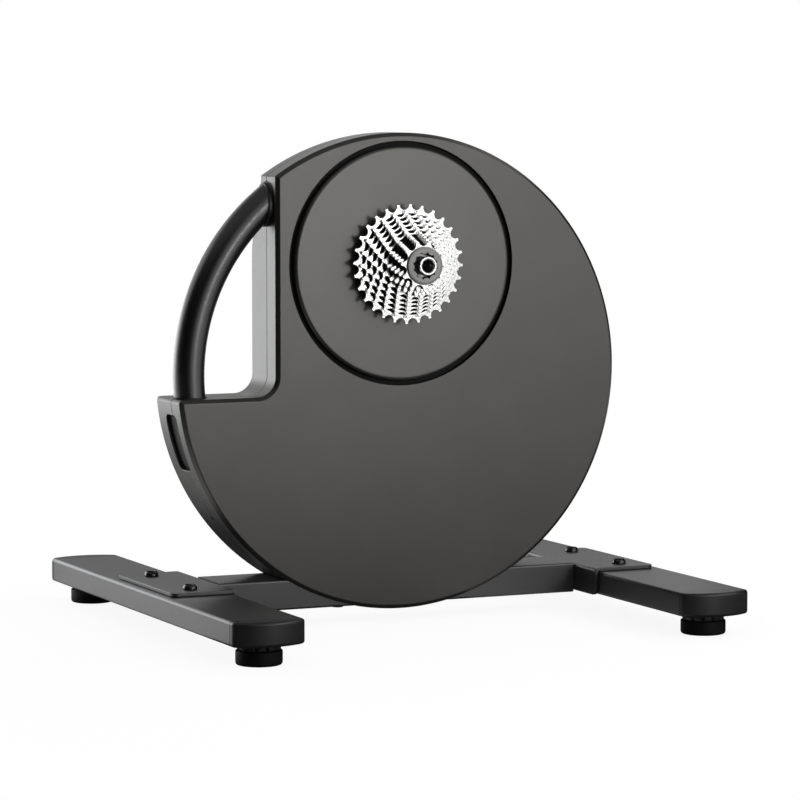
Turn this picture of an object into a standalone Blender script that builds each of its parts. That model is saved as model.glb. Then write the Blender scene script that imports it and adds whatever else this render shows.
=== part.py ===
"""Direct-drive indoor bike trainer with its cassette, as separate solids.

Metres, +Z up. The origin is on the floor under the centre of the base. +X points to the
trainer's front end as the rider sits, and -Y is the drive side, where the cassette is.
"depth" is measured from the drive-side face of the round housing towards +Y. "disc" places
are measured from the centre of the round housing, in X and Z.
"""
import math

import bmesh
import bpy
from mathutils import Matrix, Vector

for leftover in list(bpy.data.objects):
    bpy.data.objects.remove(leftover)

# Clearances
gap = 0.0003
running_gap = 0.0004

# Feet and legs
foot_height = 0.0205
foot_radius = 0.022
foot_edge = 0.002
foot_inset = 0.0171
foot_travel = 0.006
wheel_height = 0.0062
wheel_radius = 0.0205
wheel_notches = 12
notch_radius = 0.0022
stud_radius = 0.005
stud_length = 0.0200
leg_height = 0.0235
leg_width = 0.072
leg_half_length = 0.2455
leg_spread = 0.234
leg_wall = 0.0025
leg_web = 0.002
leg_edge = 0.003
leg_middle_chamber = 0.026
cap_straight = 0.008
cap_bulge = 0.012
cap_corner = 0.007
cap_plug = 0.030
cap_side_plug = 0.012

# Crossbar and brackets
bracket_thickness = 0.0035
bracket_half_length = 0.077
bracket_outer_inset = 0.0085
bracket_corner = 0.007
bracket_lip_below = 0.0005
crossbar_height = 0.030
crossbar_width = 0.060
crossbar_wall = 0.0035
crossbar_edge = 0.002
bolt_spacing = 0.106
bolt_head_radius = 0.007
bolt_head_height = 0.0042
bolt_shank_radius = 0.004
bolt_shank_length = 0.014
frame_bolt_offset = 0.056

# Round housing
disc_radius = 0.237
disc_ground_clearance = 0.0122
housing_depth = 0.067
parting_depth = 0.0255
upper_depth = 0.042
taper_start = 0.126
taper_end = 0.188
wall = 0.003
front_fillet = 0.0034
rear_fillet = 0.003
notch_face = -0.1345
shelf_height = -0.0206
notch_corner = 0.020
top_corner = 0.002
shelf_corner = 0.004
shell_gap = 0.0003

# Round cover in front of the drive pulley
cover_hole_radius = 0.121
cover_margin = 0.008
cover_groove = 0.0048
cover_proud = 0.0026
cover_edge = 0.0036
cover_ledge_depth = 0.005
cover_ledge_width = 0.014
cover_skirt = 0.010
cover_bore = 0.0155

# Handle
handle_inset = 0.0198
handle_tube_radius = 0.0155
handle_wall = 0.0022
handle_upper_reach = 0.0118
handle_lower_reach = 4.6
handle_collar_margin = 0.004
handle_collar_drop = 0.0015
handle_collar_thickness = 0.004
handle_gasket_margin = 0.0015
handle_gasket_thickness = 0.0012

# Vent in the rim, and the status light below it
vent_angle = 195.9
vent_length = 0.0575
vent_from = 0.0165
vent_to = 0.0445
vent_corner = 0.006
grille_clearance = 0.0006
grille_margin = 0.003
grille_thickness = 0.0014
grille_slots = 9
light_angle = 216.3
light_depth = 0.0315
light_radius = 0.0018
light_recess = 0.0006

# Axle, cassette and freehub
axle_bore_radius = 0.00615
axle_radius = 0.0085
dropout_spacing = 0.142
drive_end_depth = -0.062
end_cap_radius = 0.0095
drive_cap_length = 0.0095
rear_cap_length = 0.005
freehub_radius = 0.0165
freehub_front = -0.0522
freehub_flange_radius = 0.0185
freehub_skirt_radius = 0.013
lockring_radius = 0.0186
lockring_thickness = 0.0023
lockring_bore = 0.0118
lockring_thread = 0.0150
lockring_depth = 0.007
large_sprocket_depth = -0.0142
sprocket_pitch = 0.00374
sprocket_thickness = 0.0016
chain_pitch = 0.0127
tooth_depth = 0.0033
cluster_teeth = {"sprockets_28_25_23": (28, 25, 23), "sprockets_21_19_17": (21, 19, 17)}
single_teeth = (15, 14, 13, 12, 11)
cluster_drum = 0.0215
single_drum = 0.0192

# Belt drive
pulley_radius = 0.100
pulley_rim = 0.008
pulley_from = 0.0110
pulley_to = 0.0270
pulley_hub_radius = 0.024
pulley_hub_front = 0.0050
pulley_web = 0.004
pulley_bearing_radius = 0.015
motor_pulley_radius = 0.016
belt_thickness = 0.0024
belt_inset = 0.0015
idler_radius = 0.014
idler_position = 0.52
idler_arm_thickness = 0.0022
idler_arm_reach = 0.040
idler_stud_radius = 0.004
idler_pivot_radius = 0.005

# Cast frame inside the housing
spine_from = 0.0290
spine_to = 0.0390
spine_base_width = 0.140
spine_top_width = 0.060
spine_foot_height = 0.010
spine_foot_from = 0.010
hub_boss_radius = 0.030
arm_radius = 0.010
lower_arm_root = -0.062
spigot_length = 0.018
spigot_clearance = 0.0006

# Flywheel and brake
flywheel_x = 0.030
flywheel_radius = 0.108
flywheel_clearance = 0.0064
flywheel_rim = 0.022
flywheel_from = 0.0425
flywheel_to = 0.0625
flywheel_web = 0.004
shaft_radius = 0.006
shaft_bearing_radius = 0.0135
brake_reach = 0.083
brake_hub_radius = 0.030
brake_pole_width = 0.014
brake_from = 0.0430
brake_to = 0.0520
brake_poles = 4
coil_wall = 0.006
coil_length = 0.034

# Electronics
board_centre = (-0.145, -0.058)
board_size = (0.100, 0.050)
board_thickness = 0.0016
board_standoff = 0.0030
sensor_offset = (-0.022, 0.097)
sensor_size = (0.012, 0.010)
sensor_thickness = 0.0026
inlet_centre = (-0.120, -0.130)
inlet_radius = 0.0065
inlet_flange = 0.0085
inlet_bore = 0.0033
inlet_pin = 0.0010
inlet_length = 0.014

# Places worked out from the sizes above
leg_bottom = foot_height
leg_top = leg_bottom + leg_height
crossbar_top = leg_top + bracket_thickness + gap
crossbar_bottom = crossbar_top - crossbar_height
disc_height = disc_ground_clearance + disc_radius
hub_height = disc_radius - cover_margin - cover_hole_radius
hub_z = disc_height + hub_height
leg_inner = leg_spread - leg_width / 2
leg_outer = leg_spread + leg_width / 2
bracket_inner = leg_inner - gap - bracket_thickness
crossbar_half = bracket_inner - gap
foot_y = leg_half_length - foot_inset
rear_end_depth = drive_end_depth + dropout_spacing
small_sprocket_front = large_sprocket_depth - 10 * sprocket_pitch - sprocket_thickness / 2
handle_depth = parting_depth
handle_arc_radius = disc_radius - handle_inset
handle_upper_end = math.degrees(math.acos((notch_face + handle_upper_reach) / handle_arc_radius))
flywheel_z = crossbar_top + flywheel_clearance + flywheel_radius - disc_height
spine_foot_bottom = crossbar_top + gap
smooth_angle = math.radians(35)


def at_depth(depth):
    """World Y of a depth behind the housing's drive-side face."""
    return depth - housing_depth / 2


def paint(name, colour, roughness, metallic=0.0):
    material = bpy.data.materials.new(name)
    material.use_nodes = True
    shader = material.node_tree.nodes["Principled BSDF"]
    shader.inputs["Base Color"].default_value = (*colour, 1.0)
    shader.inputs["Roughness"].default_value = roughness
    shader.inputs["Metallic"].default_value = metallic
    return material


charcoal = paint("charcoal_paint", (0.085, 0.083, 0.080), 0.45, 0.3)
cover_grey = paint("cover_paint", (0.105, 0.102, 0.098), 0.42, 0.3)
leg_grey = paint("leg_paint", (0.070, 0.070, 0.072), 0.48, 0.2)
satin_black = paint("satin_black", (0.012, 0.012, 0.012), 0.32)
rubber = paint("rubber", (0.010, 0.010, 0.010), 0.75)
black_steel = paint("black_steel", (0.020, 0.020, 0.022), 0.30, 0.9)
bright_steel = paint("bright_steel", (0.80, 0.80, 0.80), 0.22, 1.0)
grey_steel = paint("grey_steel", (0.42, 0.42, 0.41), 0.38, 1.0)
cast_alloy = paint("cast_alloy", (0.45, 0.46, 0.47), 0.50, 0.9)
copper = paint("coil_wire", (0.55, 0.25, 0.12), 0.40, 0.9)
board_green = paint("board", (0.02, 0.16, 0.08), 0.50)
lens = paint("light_lens", (0.75, 0.78, 0.80), 0.20)


def add_object(name, mesh_data, material=None):
    """Put a bmesh into the scene as a closed object with outward faces."""
    bmesh.ops.recalc_face_normals(mesh_data, faces=mesh_data.faces)
    mesh = bpy.data.meshes.new(name)
    mesh_data.to_mesh(mesh)
    mesh_data.free()
    mesh.shade_smooth()
    mesh.set_sharp_from_angle(angle=smooth_angle)
    item = bpy.data.objects.new(name, mesh)
    bpy.context.scene.collection.objects.link(item)
    if material is None:
        item.hide_render = True
        item.display_type = "WIRE"
    else:
        mesh.materials.append(material)
    return item


def add_empty(name, place):
    empty = bpy.data.objects.new(name, None)
    empty.empty_display_size = 0.02
    empty.location = place
    bpy.context.scene.collection.objects.link(empty)
    return empty


def ride_on(item, empty):
    """Parent a moving piece to the empty on its axis, where it already stands."""
    item.parent = empty
    item.matrix_parent_inverse = Matrix.Translation(empty.location).inverted()


def combine(item, other, operation):
    step = item.modifiers.new(operation.lower() + "_" + other.name, "BOOLEAN")
    step.operation = operation
    step.solver = "EXACT"
    step.object = other


def cut(item, *cutters):
    for cutter in cutters:
        combine(item, cutter, "DIFFERENCE")


def join(item, *others):
    for other in others:
        combine(item, other, "UNION")


def loft(loops, closed=False):
    """Skin a row of loops with equal point counts; the ends are capped unless closed."""
    result = bmesh.new()
    rings = [[result.verts.new(point) for point in loop] for loop in loops]
    pairs = list(zip(rings[:-1], rings[1:]))
    if closed:
        pairs.append((rings[-1], rings[0]))
    for first, second in pairs:
        count = len(first)
        for i in range(count):
            j = (i + 1) % count
            result.faces.new((first[i], first[j], second[j], second[i]))
    if not closed:
        result.faces.new(rings[0])
        result.faces.new(rings[-1])
    return result


def turned(profile, centre, axis="Y", segments=32, phase=0.0):
    """Turn a closed profile of (radius, distance along the axis) points round an axis.

    A profile that starts and ends at radius 0 makes a solid piece; one that stays off the
    axis makes a ring. The phase turns the corners by a share of one segment.
    """
    solid = profile[0][0] == 0.0
    result = bmesh.new()
    rings = []
    for radius, along in profile:
        if radius == 0.0:
            rings.append([result.verts.new((0.0, 0.0, along))])
            continue
        ring = []
        for i in range(segments):
            turn = 2 * math.pi * (i + phase) / segments
            ring.append(result.verts.new((radius * math.cos(turn), radius * math.sin(turn), along)))
        rings.append(ring)
    pairs = list(zip(rings[:-1], rings[1:]))
    if not solid:
        pairs.append((rings[-1], rings[0]))
    for first, second in pairs:
        for i in range(segments):
            j = (i + 1) % segments
            corners = [first[i % len(first)], first[j % len(first)],
                       second[j % len(second)], second[i % len(second)]]
            face = [corner for k, corner in enumerate(corners) if corner not in corners[:k]]
            result.faces.new(face)
    turns = {"Z": Matrix.Identity(4), "Y": Matrix.Rotation(math.radians(-90), 4, "X")}
    result.transform(Matrix.Translation(Vector(centre)) @ turns[axis])
    return result


def ring_profile(inner, outer, start, end):
    return [(inner, start), (outer, start), (outer, end), (inner, end)]


def rod_profile(radius, start, end):
    return [(0.0, start), (radius, start), (radius, end), (0.0, end)]


def hub_rod(name, radius, start, end, segments=20, phase=0.3):
    """A rod on the hub axis between two depths, for a cut or a join."""
    return add_object(name, turned(rod_profile(radius, at_depth(start), at_depth(end)),
                                   (0, 0, hub_z), segments=segments, phase=phase))


def hub_ring(name, inner, outer, start, end, material, segments=32):
    """A plain ring on the hub axis between two depths."""
    profile = ring_profile(inner, outer, at_depth(start), at_depth(end))
    return add_object(name, turned(profile, (0, 0, hub_z), segments=segments), material)


def rod(name, x, z, radius, start, end, segments=14, phase=0.3):
    """A rod along Y through a place on the disc, for a cut or a join."""
    return add_object(name, turned(rod_profile(radius, at_depth(start), at_depth(end)),
                                   (x, 0, disc_height + z), segments=segments, phase=phase))


def box(low, high):
    (x0, y0, z0), (x1, y1, z1) = low, high
    corners = [(x0, y0), (x1, y0), (x1, y1), (x0, y1)]
    return loft([[(x, y, z) for x, y in corners] for z in (z0, z1)])


def arc(centre, radius, start, end, steps):
    """Points on an arc between two angles in degrees, both ends included."""
    points = []
    for i in range(steps + 1):
        angle = math.radians(start + (end - start) * i / steps)
        points.append((centre[0] + radius * math.cos(angle), centre[1] + radius * math.sin(angle)))
    return points


def rounded_rectangle(width, height, corner, steps=4):
    x, y = width / 2 - corner, height / 2 - corner
    corners = [((x, y), 0), ((-x, y), 90), ((-x, -y), 180), ((x, -y), 270)]
    return [point for centre, start in corners for point in arc(centre, corner, start, start + 90, steps)]


def plate(outline, start, end):
    """Extrude an outline on the disc, given in X and Z, between two depths."""
    return loft([[(x, at_depth(depth), disc_height + z) for x, z in outline] for depth in (start, end)])


def bar(start_point, end_point, radius, steps=6):
    """Outline of a bar with round ends between two places on the disc."""
    direction = math.degrees(math.atan2(end_point[1] - start_point[1], end_point[0] - start_point[0]))
    return (arc(end_point, radius, direction - 90, direction + 90, steps)
            + arc(start_point, radius, direction + 90, direction + 270, steps))


def housing_outline(inset):
    """The round housing with its handle notch, drawn inwards by an inset."""
    radius = disc_radius - inset
    face = notch_face + inset
    shelf = shelf_height - inset
    upper = max(top_corner - inset, 0.0004)
    lower = max(shelf_corner - inset, 0.0004)
    upper_x = face + upper
    upper_z = math.sqrt((radius - upper) ** 2 - upper_x ** 2)
    lower_z = shelf - lower
    lower_x = -math.sqrt((radius - lower) ** 2 - lower_z ** 2)
    rim_start = math.degrees(math.atan2(lower_z, lower_x)) % 360
    rim_end = math.degrees(math.atan2(upper_z, upper_x)) + 360
    inner_centre = (notch_face - notch_corner, shelf_height + notch_corner)
    return (arc((0, 0), radius, rim_start, rim_end, 48)
            + arc((upper_x, upper_z), upper, rim_end - 360 + 8, 180, 2)
            + arc(inner_centre, notch_corner + inset, 0, -90, 7)
            + arc((lower_x, lower_z), lower, 90, rim_start - 8, 3))


def housing_loop(inset, depth):
    return [(x, at_depth(depth), disc_height + z) for x, z in housing_outline(inset)]


def shell_mesh(outer, inner):
    """A dished shell: outer and inner skins as (inset, depth) rows from the parting edge."""
    result = bmesh.new()
    skins = []
    for rows in (outer, inner):
        rings = [[result.verts.new(point) for point in housing_loop(*row)] for row in rows]
        skins.append(rings)
        result.faces.new(rings[-1])
    pairs = [pair for rings in skins for pair in zip(rings[:-1], rings[1:])]
    pairs.append((skins[0][0], skins[1][0]))
    for first, second in pairs:
        count = len(first)
        for i in range(count):
            j = (i + 1) % count
            result.faces.new((first[i], first[j], second[j], second[i]))
    return result


def fillet_rows(radius, edge_depth, direction, steps=2):
    """(inset, depth) rows round a face's edge; direction is +1 where depth grows inwards."""
    rows = []
    for i in range(steps + 1):
        turn = math.radians(90 * i / steps)
        rows.append((radius * (1 - math.cos(turn)), edge_depth + direction * radius * (1 - math.sin(turn))))
    return rows


def handle_point(angle, radius=handle_arc_radius):
    turn = math.radians(angle)
    return (radius * math.cos(turn), radius * math.sin(turn))


def handle_section(angle, radius, segments):
    """A round section of the handle at an angle on its arc."""
    centre_x, centre_z = handle_point(angle)
    turn = math.radians(angle)
    loop = []
    for i in range(segments):
        around = 2 * math.pi * i / segments
        out = radius * math.cos(around)
        loop.append((centre_x + out * math.cos(turn), at_depth(handle_depth) + radius * math.sin(around),
                     disc_height + centre_z + out * math.sin(turn)))
    return loop


def handle_tube(radius, start, end, steps, segments=16):
    loops = [handle_section(start + (end - start) * i / steps, radius, segments) for i in range(steps + 1)]
    return loft(loops)


# The handle stops on the cast frame's arm under the shelf
lower_arm_angle = 180 + math.degrees(math.asin(-shelf_height / handle_arc_radius)) + handle_lower_reach
handle_lower_end = lower_arm_angle - math.degrees((arm_radius + gap) / handle_arc_radius)
upper_arm_angle = handle_upper_end - math.degrees((arm_radius + gap) / handle_arc_radius)


def make_legs():
    tube_top = [(-1, "left"), (1, "right")]
    for side, word in tube_top:
        x = side * leg_spread
        outline = rounded_rectangle(leg_width, leg_height, leg_edge, 2)
        middle_z = (leg_top + leg_bottom) / 2
        ends = (-leg_half_length, leg_half_length)
        leg = add_object("leg_" + word, loft([[(x + u, y, middle_z + v) for u, v in outline] for y in ends]),
                         leg_grey)
        chamber_height = leg_height - 2 * leg_wall
        side_chamber = (leg_width - 2 * leg_wall - leg_middle_chamber - 2 * leg_web) / 2
        offset = leg_middle_chamber / 2 + leg_web + side_chamber / 2
        reach = leg_half_length + 0.01
        for index, (place, width) in enumerate(((-offset, side_chamber), (0, leg_middle_chamber),
                                                (offset, side_chamber))):
            chamber = box((x + place - width / 2, -reach, middle_z - chamber_height / 2),
                          (x + place + width / 2, reach, middle_z + chamber_height / 2))
            cut(leg, add_object("leg_%s_chamber_%d" % (word, index), chamber))
        for end in (-1, 1):
            hole = turned(rod_profile(bolt_shank_radius + gap, leg_top - 2 * leg_wall, leg_top + leg_wall),
                          (x, end * bolt_spacing / 2, 0), "Z", 12)
            cut(leg, add_object("leg_%s_bolt_hole_%d" % (word, end), hole))
            stud_hole = turned(rod_profile(stud_radius + 2 * gap, leg_bottom - leg_wall,
                                           leg_bottom + 1.5 * leg_wall), (x, end * foot_y, 0), "Z", 12)
            cut(leg, add_object("leg_%s_stud_hole_%d" % (word, end), stud_hole))
            make_leg_cap(x, end, word, side_chamber, offset, middle_z, chamber_height)
            make_foot(x, end, word)


def cap_outline(inset):
    """Plan of an end cap: a straight root, then a bulged nose with rounded corners."""
    half = leg_width / 2
    bow = (half ** 2 + cap_bulge ** 2) / (2 * cap_bulge)
    centre_y = cap_straight + cap_bulge - bow
    corner = cap_corner
    corner_x = half - corner
    corner_y = centre_y + math.sqrt((bow - corner) ** 2 - corner_x ** 2)
    swing = math.degrees(math.atan2(corner_y - centre_y, corner_x))
    nose = arc((0, centre_y), bow - inset, swing, 180 - swing, 8)
    right = arc((corner_x, corner_y), corner - inset, 0, swing, 3)[:-1]
    left = arc((-corner_x, corner_y), corner - inset, 180 - swing, 180, 3)[1:]
    return [(half - inset, 0.0)] + right + nose + left + [(-half + inset, 0.0)]


def make_leg_cap(x, end, word, side_chamber, offset, middle_z, chamber_height):
    place = "front" if end < 0 else "rear"
    name = "leg_cap_%s_%s" % (word, place)
    root = leg_half_length + gap
    rows = [(leg_edge * 0.6, leg_bottom), (0.0, leg_bottom + leg_edge), (0.0, leg_top - leg_edge),
            (leg_edge * 0.6, leg_top)]
    loops = [[(x + u, end * (root + v), z) for u, v in cap_outline(inset)] for inset, z in rows]
    cap = add_object(name, loft(loops), leg_grey)
    half_height = chamber_height / 2 - gap
    plugs = [(0.0, leg_middle_chamber, cap_plug), (-offset, side_chamber, cap_side_plug),
             (offset, side_chamber, cap_side_plug)]
    for index, (shift, width, length) in enumerate(plugs):
        half = width / 2 - gap
        near, far = sorted((end * (root + 0.002), end * (root - length)))
        plug = box((x + shift - half, near, middle_z - half_height),
                   (x + shift + half, far, middle_z + half_height))
        join(cap, add_object("%s_plug_%d" % (name, index), plug))
    bore = turned(rod_profile(stud_radius + gap, leg_bottom, leg_bottom + stud_length + gap),
                  (x, end * foot_y, 0), "Z", 12)
    cut(cap, add_object(name + "_bore", bore))


def make_foot(x, end, word):
    """A levelling foot: a notched thumb wheel that is held under the leg, and a pad on a stud."""
    place = "front" if end < 0 else "rear"
    label = "%s_%s" % (word, place)
    y = end * foot_y
    wheel_top = leg_bottom - gap
    wheel_bottom = wheel_top - wheel_height
    outline = []
    for i in range(wheel_notches):
        middle = 360 * (i + 0.5) / wheel_notches
        half_land = 360 * 0.31 / wheel_notches
        outline += arc((0, 0), wheel_radius, middle - half_land, middle + half_land, 1)
        edge = math.radians(360 * (i + 1) / wheel_notches)
        root = wheel_radius - notch_radius
        outline.append((root * math.cos(edge), root * math.sin(edge)))
    wheel = add_object("foot_wheel_" + label,
                       loft([[(x + u, y + v, z) for u, v in outline] for z in (wheel_bottom, wheel_top)]),
                       satin_black)
    bore = turned(rod_profile(stud_radius + gap, wheel_bottom - 0.01, wheel_top + 0.01), (x, y, 0), "Z", 12)
    cut(wheel, add_object("foot_wheel_bore_" + label, bore))
    ride_on(wheel, add_empty("foot_wheel_axis_" + label, (x, y, wheel_top)))
    pad_top = wheel_bottom - gap
    profile = [(0.0, 0.0), (foot_radius - foot_edge, 0.0), (foot_radius, foot_edge),
               (foot_radius, pad_top), (stud_radius, pad_top),
               (stud_radius, leg_bottom + stud_length - 2 * gap), (0.0, leg_bottom + stud_length - 2 * gap)]
    pad = add_object("foot_pad_" + label, turned(profile, (x, y, 0), "Z", 22), rubber)
    ride_on(pad, add_empty("foot_pad_axis_" + label, (x, y, 0)))


def make_brackets():
    """Two folded steel plates that hold the legs to the crossbar, with their four bolts."""
    for side, word in ((-1, "left"), (1, "right")):
        inner = side * bracket_inner
        outer = side * (leg_outer - bracket_outer_inset)
        low = leg_bottom - bracket_lip_below
        top = crossbar_top
        under = leg_top + gap
        web_outer = inner + side * bracket_thickness
        section = [(inner, low), (web_outer, low), (web_outer, under), (outer, under), (outer, top), (inner, top)]
        half = bracket_half_length
        bracket_mesh = loft([[(u, y, v) for u, v in section] for y in (-half, half)])
        corners = [edge for edge in bracket_mesh.edges
                   if abs(edge.verts[0].co.y - edge.verts[1].co.y) < gap
                   and ((abs(edge.verts[0].co.x - outer) < gap and abs(edge.verts[1].co.x - outer) < gap)
                        or (abs(edge.verts[0].co.z - low) < gap and abs(edge.verts[1].co.z - low) < gap))]
        bmesh.ops.bevel(bracket_mesh, geom=corners, offset=bracket_corner, segments=4, profile=0.5,
                        affect="EDGES", clamp_overlap=True)
        bracket = add_object("bracket_" + word, bracket_mesh, leg_grey)
        for end, place in ((-1, "front"), (1, "rear")):
            y = end * bolt_spacing / 2
            x = side * leg_spread
            hole = turned(rod_profile(bolt_shank_radius + gap, under - 0.002, top + 0.002), (x, y, 0), "Z", 12)
            cut(bracket, add_object("bracket_hole_%s_%s" % (word, place), hole))
            seat = top + gap
            profile = [(0.0, seat - bolt_shank_length), (bolt_shank_radius, seat - bolt_shank_length),
                       (bolt_shank_radius, seat), (bolt_head_radius, seat),
                       (bolt_head_radius * 0.97, seat + bolt_head_height * 0.35),
                       (bolt_head_radius * 0.72, seat + bolt_head_height * 0.82),
                       (bolt_head_radius * 0.45, seat + bolt_head_height), (0.0, seat + bolt_head_height)]
            add_object("bracket_bolt_%s_%s" % (word, place), turned(profile, (x, y, 0), "Z", 12), black_steel)


def make_crossbar():
    outline = rounded_rectangle(crossbar_width, crossbar_height, crossbar_edge, 2)
    inside = rounded_rectangle(crossbar_width - 2 * crossbar_wall, crossbar_height - 2 * crossbar_wall,
                               crossbar_edge / 2, 1)
    middle = (crossbar_top + crossbar_bottom) / 2
    ends = (-crossbar_half, crossbar_half)
    bar_item = add_object("crossbar", loft([[(x, u, middle + v) for u, v in outline] for x in ends]), leg_grey)
    reach = crossbar_half + 0.01
    cut(bar_item, add_object("crossbar_hollow",
                             loft([[(x, u, middle + v) for u, v in inside] for x in (-reach, reach)])))
    for side, word in ((-1, "left"), (1, "right")):
        x = side * frame_bolt_offset
        hole = turned(rod_profile(bolt_shank_radius + gap, crossbar_bottom - 0.01, crossbar_top + 0.01),
                      (x, 0, 0), "Z", 12)
        cut(bar_item, add_object("crossbar_hole_" + word, hole))
        head = crossbar_bottom - gap
        tip = crossbar_top + spine_foot_height * 0.8
        profile = [(0.0, head - bolt_head_height), (bolt_head_radius, head - bolt_head_height),
                   (bolt_head_radius, head), (bolt_shank_radius, head), (bolt_shank_radius, tip), (0.0, tip)]
        add_object("frame_bolt_" + word, turned(profile, (x, 0, 0), "Z", 12), black_steel)


def crossbar_cutter(name):
    """The crossbar's space through the housing, with its clearance."""
    reach = disc_radius
    half = crossbar_width / 2 + 2 * gap
    return add_object(name, box((-reach, -half, crossbar_bottom - 2 * gap), (reach, half, crossbar_top + 2 * gap)))


def handle_cutter(name):
    return add_object(name, handle_tube(handle_tube_radius + gap, handle_upper_end - 0.8,
                                        handle_lower_end + 0.8, 12))


def vent_cutter(name):
    """A rounded slot that points at the disc's centre and cuts the rim."""
    outline = rounded_rectangle(vent_length, vent_to - vent_from, vent_corner, 3)
    turn = math.radians(vent_angle)
    middle = at_depth((vent_from + vent_to) / 2)
    loops = []
    for radius in (disc_radius - 2 * wall, disc_radius + wall):
        loops.append([(radius * math.cos(turn) - u * math.sin(turn), middle + v,
                       disc_height + radius * math.sin(turn) + u * math.cos(turn)) for u, v in outline])
    return add_object(name, loft(loops))


def radial_rod(name, angle, depth, radius, start, end, material=None):
    """A rod that points at the disc's centre, between two distances from it."""
    mesh_data = turned(rod_profile(radius, start, end), (0, 0, 0), "Z", 12)
    turn = Matrix.Rotation(math.radians(90 - angle), 4, "Y")
    mesh_data.transform(Matrix.Translation((0, at_depth(depth), disc_height)) @ turn)
    return add_object(name, mesh_data, material)


def make_front_shell():
    parting = parting_depth - shell_gap / 2
    outer = [(0.0, parting)] + fillet_rows(front_fillet, 0.0, 1)
    inner = [(wall, parting), (wall, wall)]
    shell = add_object("front_shell", shell_mesh(outer, inner), charcoal)
    cut(shell, crossbar_cutter("front_shell_crossbar"), handle_cutter("front_shell_handle"),
        vent_cutter("front_shell_vent"))
    ledge_back = cover_ledge_depth + wall
    join(shell, hub_rod("front_shell_ledge", cover_hole_radius + wall, wall / 2, ledge_back, segments=36))
    profile = [(0.0, -wall), (cover_hole_radius, -wall), (cover_hole_radius, cover_ledge_depth),
               (cover_hole_radius - cover_ledge_width, cover_ledge_depth),
               (cover_hole_radius - cover_ledge_width, ledge_back + wall), (0.0, ledge_back + wall)]
    seat = turned([(r, at_depth(d)) for r, d in profile], (0, 0, hub_z), segments=48)
    cut(shell, add_object("front_shell_cover_seat", seat))


def taper_top(mesh_data):
    """Bring the rear of the housing forward above the axle, in one slope and one flat."""
    for level in (taper_start, taper_end):
        everything = list(mesh_data.verts) + list(mesh_data.edges) + list(mesh_data.faces)
        bmesh.ops.bisect_plane(mesh_data, geom=everything, dist=1e-7,
                               plane_co=(0, 0, disc_height + level), plane_no=(0, 0, 1))
    for vert in mesh_data.verts:
        if vert.co.y > at_depth(upper_depth - 2 * wall):
            share = (vert.co.z - disc_height - taper_start) / (taper_end - taper_start)
            vert.co.y -= (housing_depth - upper_depth) * min(max(share, 0.0), 1.0)


def make_rear_shell():
    parting = parting_depth + shell_gap / 2
    outer = [(0.0, parting)] + fillet_rows(rear_fillet, housing_depth, -1)
    inner = [(wall, parting), (wall, housing_depth - wall)]
    shell_data = shell_mesh(outer, inner)
    taper_top(shell_data)
    shell = add_object("rear_shell", shell_data, charcoal)
    boss_end = rear_end_depth - rear_cap_length - gap
    cut(shell, crossbar_cutter("rear_shell_crossbar"), handle_cutter("rear_shell_handle"),
        vent_cutter("rear_shell_vent"))
    cut(shell, radial_rod("rear_shell_light_hole", light_angle, light_depth, light_radius + gap,
                          disc_radius - 2 * wall, disc_radius + wall))
    cut(shell, rod("rear_shell_inlet_hole", *inlet_centre, inlet_radius + gap, housing_depth - 2 * wall,
                   housing_depth + wall))
    join(shell, hub_rod("rear_shell_boss", end_cap_radius + 2 * wall, housing_depth - wall / 2, boss_end,
                        segments=32, phase=0.0))
    cut(shell, hub_rod("rear_shell_bore", axle_radius + gap, housing_depth - 2 * wall, boss_end + wall))


def make_hub_cover():
    """The round lid over the drive pulley, on the front shell's ledge and a little proud of its face."""
    radius = cover_hole_radius - cover_groove
    front = -cover_proud
    back = cover_ledge_depth - gap
    edge = cover_edge * 0.3
    profile = [(cover_bore, front), (radius - cover_edge, front), (radius - edge, front + edge),
               (radius, front + cover_edge), (radius, back), (radius - cover_skirt, back),
               (radius - cover_skirt, front + wall), (cover_bore, front + wall)]
    placed = [(r, at_depth(depth)) for r, depth in profile]
    add_object("hub_cover", turned(placed, (0, 0, hub_z), segments=44), cover_grey)


def make_handle():
    steps = 12
    outer = [handle_section(handle_upper_end + (handle_lower_end - handle_upper_end) * i / steps,
                            handle_tube_radius, 16) for i in range(steps + 1)]
    bore = [handle_section(handle_lower_end + (handle_upper_end - handle_lower_end) * i / steps,
                           handle_tube_radius - handle_wall, 16) for i in range(steps + 1)]
    add_object("handle", loft(outer + bore, closed=True), satin_black)
    sides = (notch_face - gap, notch_face - gap - handle_collar_thickness)
    middle_x = (sides[0] + sides[1]) / 2
    middle_z = math.sqrt(handle_arc_radius ** 2 - middle_x ** 2)
    slant = middle_z / handle_arc_radius
    half_height = handle_tube_radius / slant + handle_collar_margin
    half_width = handle_tube_radius + handle_collar_margin
    outline = [(half_width * math.cos(t), half_height * math.sin(t))
               for t in [2 * math.pi * i / 22 for i in range(22)]]
    level = disc_height + middle_z - handle_collar_drop
    collar = add_object("handle_collar", loft([[(x, at_depth(handle_depth) + u, level + v) for u, v in outline]
                                               for x in sides]), satin_black)
    cut(collar, handle_cutter("handle_collar_bore"))
    foot_x = -math.sqrt(handle_arc_radius ** 2 - shelf_height ** 2)
    level = disc_height + shelf_height + gap
    gasket = add_object("handle_gasket",
                        turned(rod_profile(handle_tube_radius + handle_gasket_margin, level,
                                           level + handle_gasket_thickness),
                               (foot_x, at_depth(handle_depth), 0), "Z", 22), rubber)
    cut(gasket, handle_cutter("handle_gasket_bore"))


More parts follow.
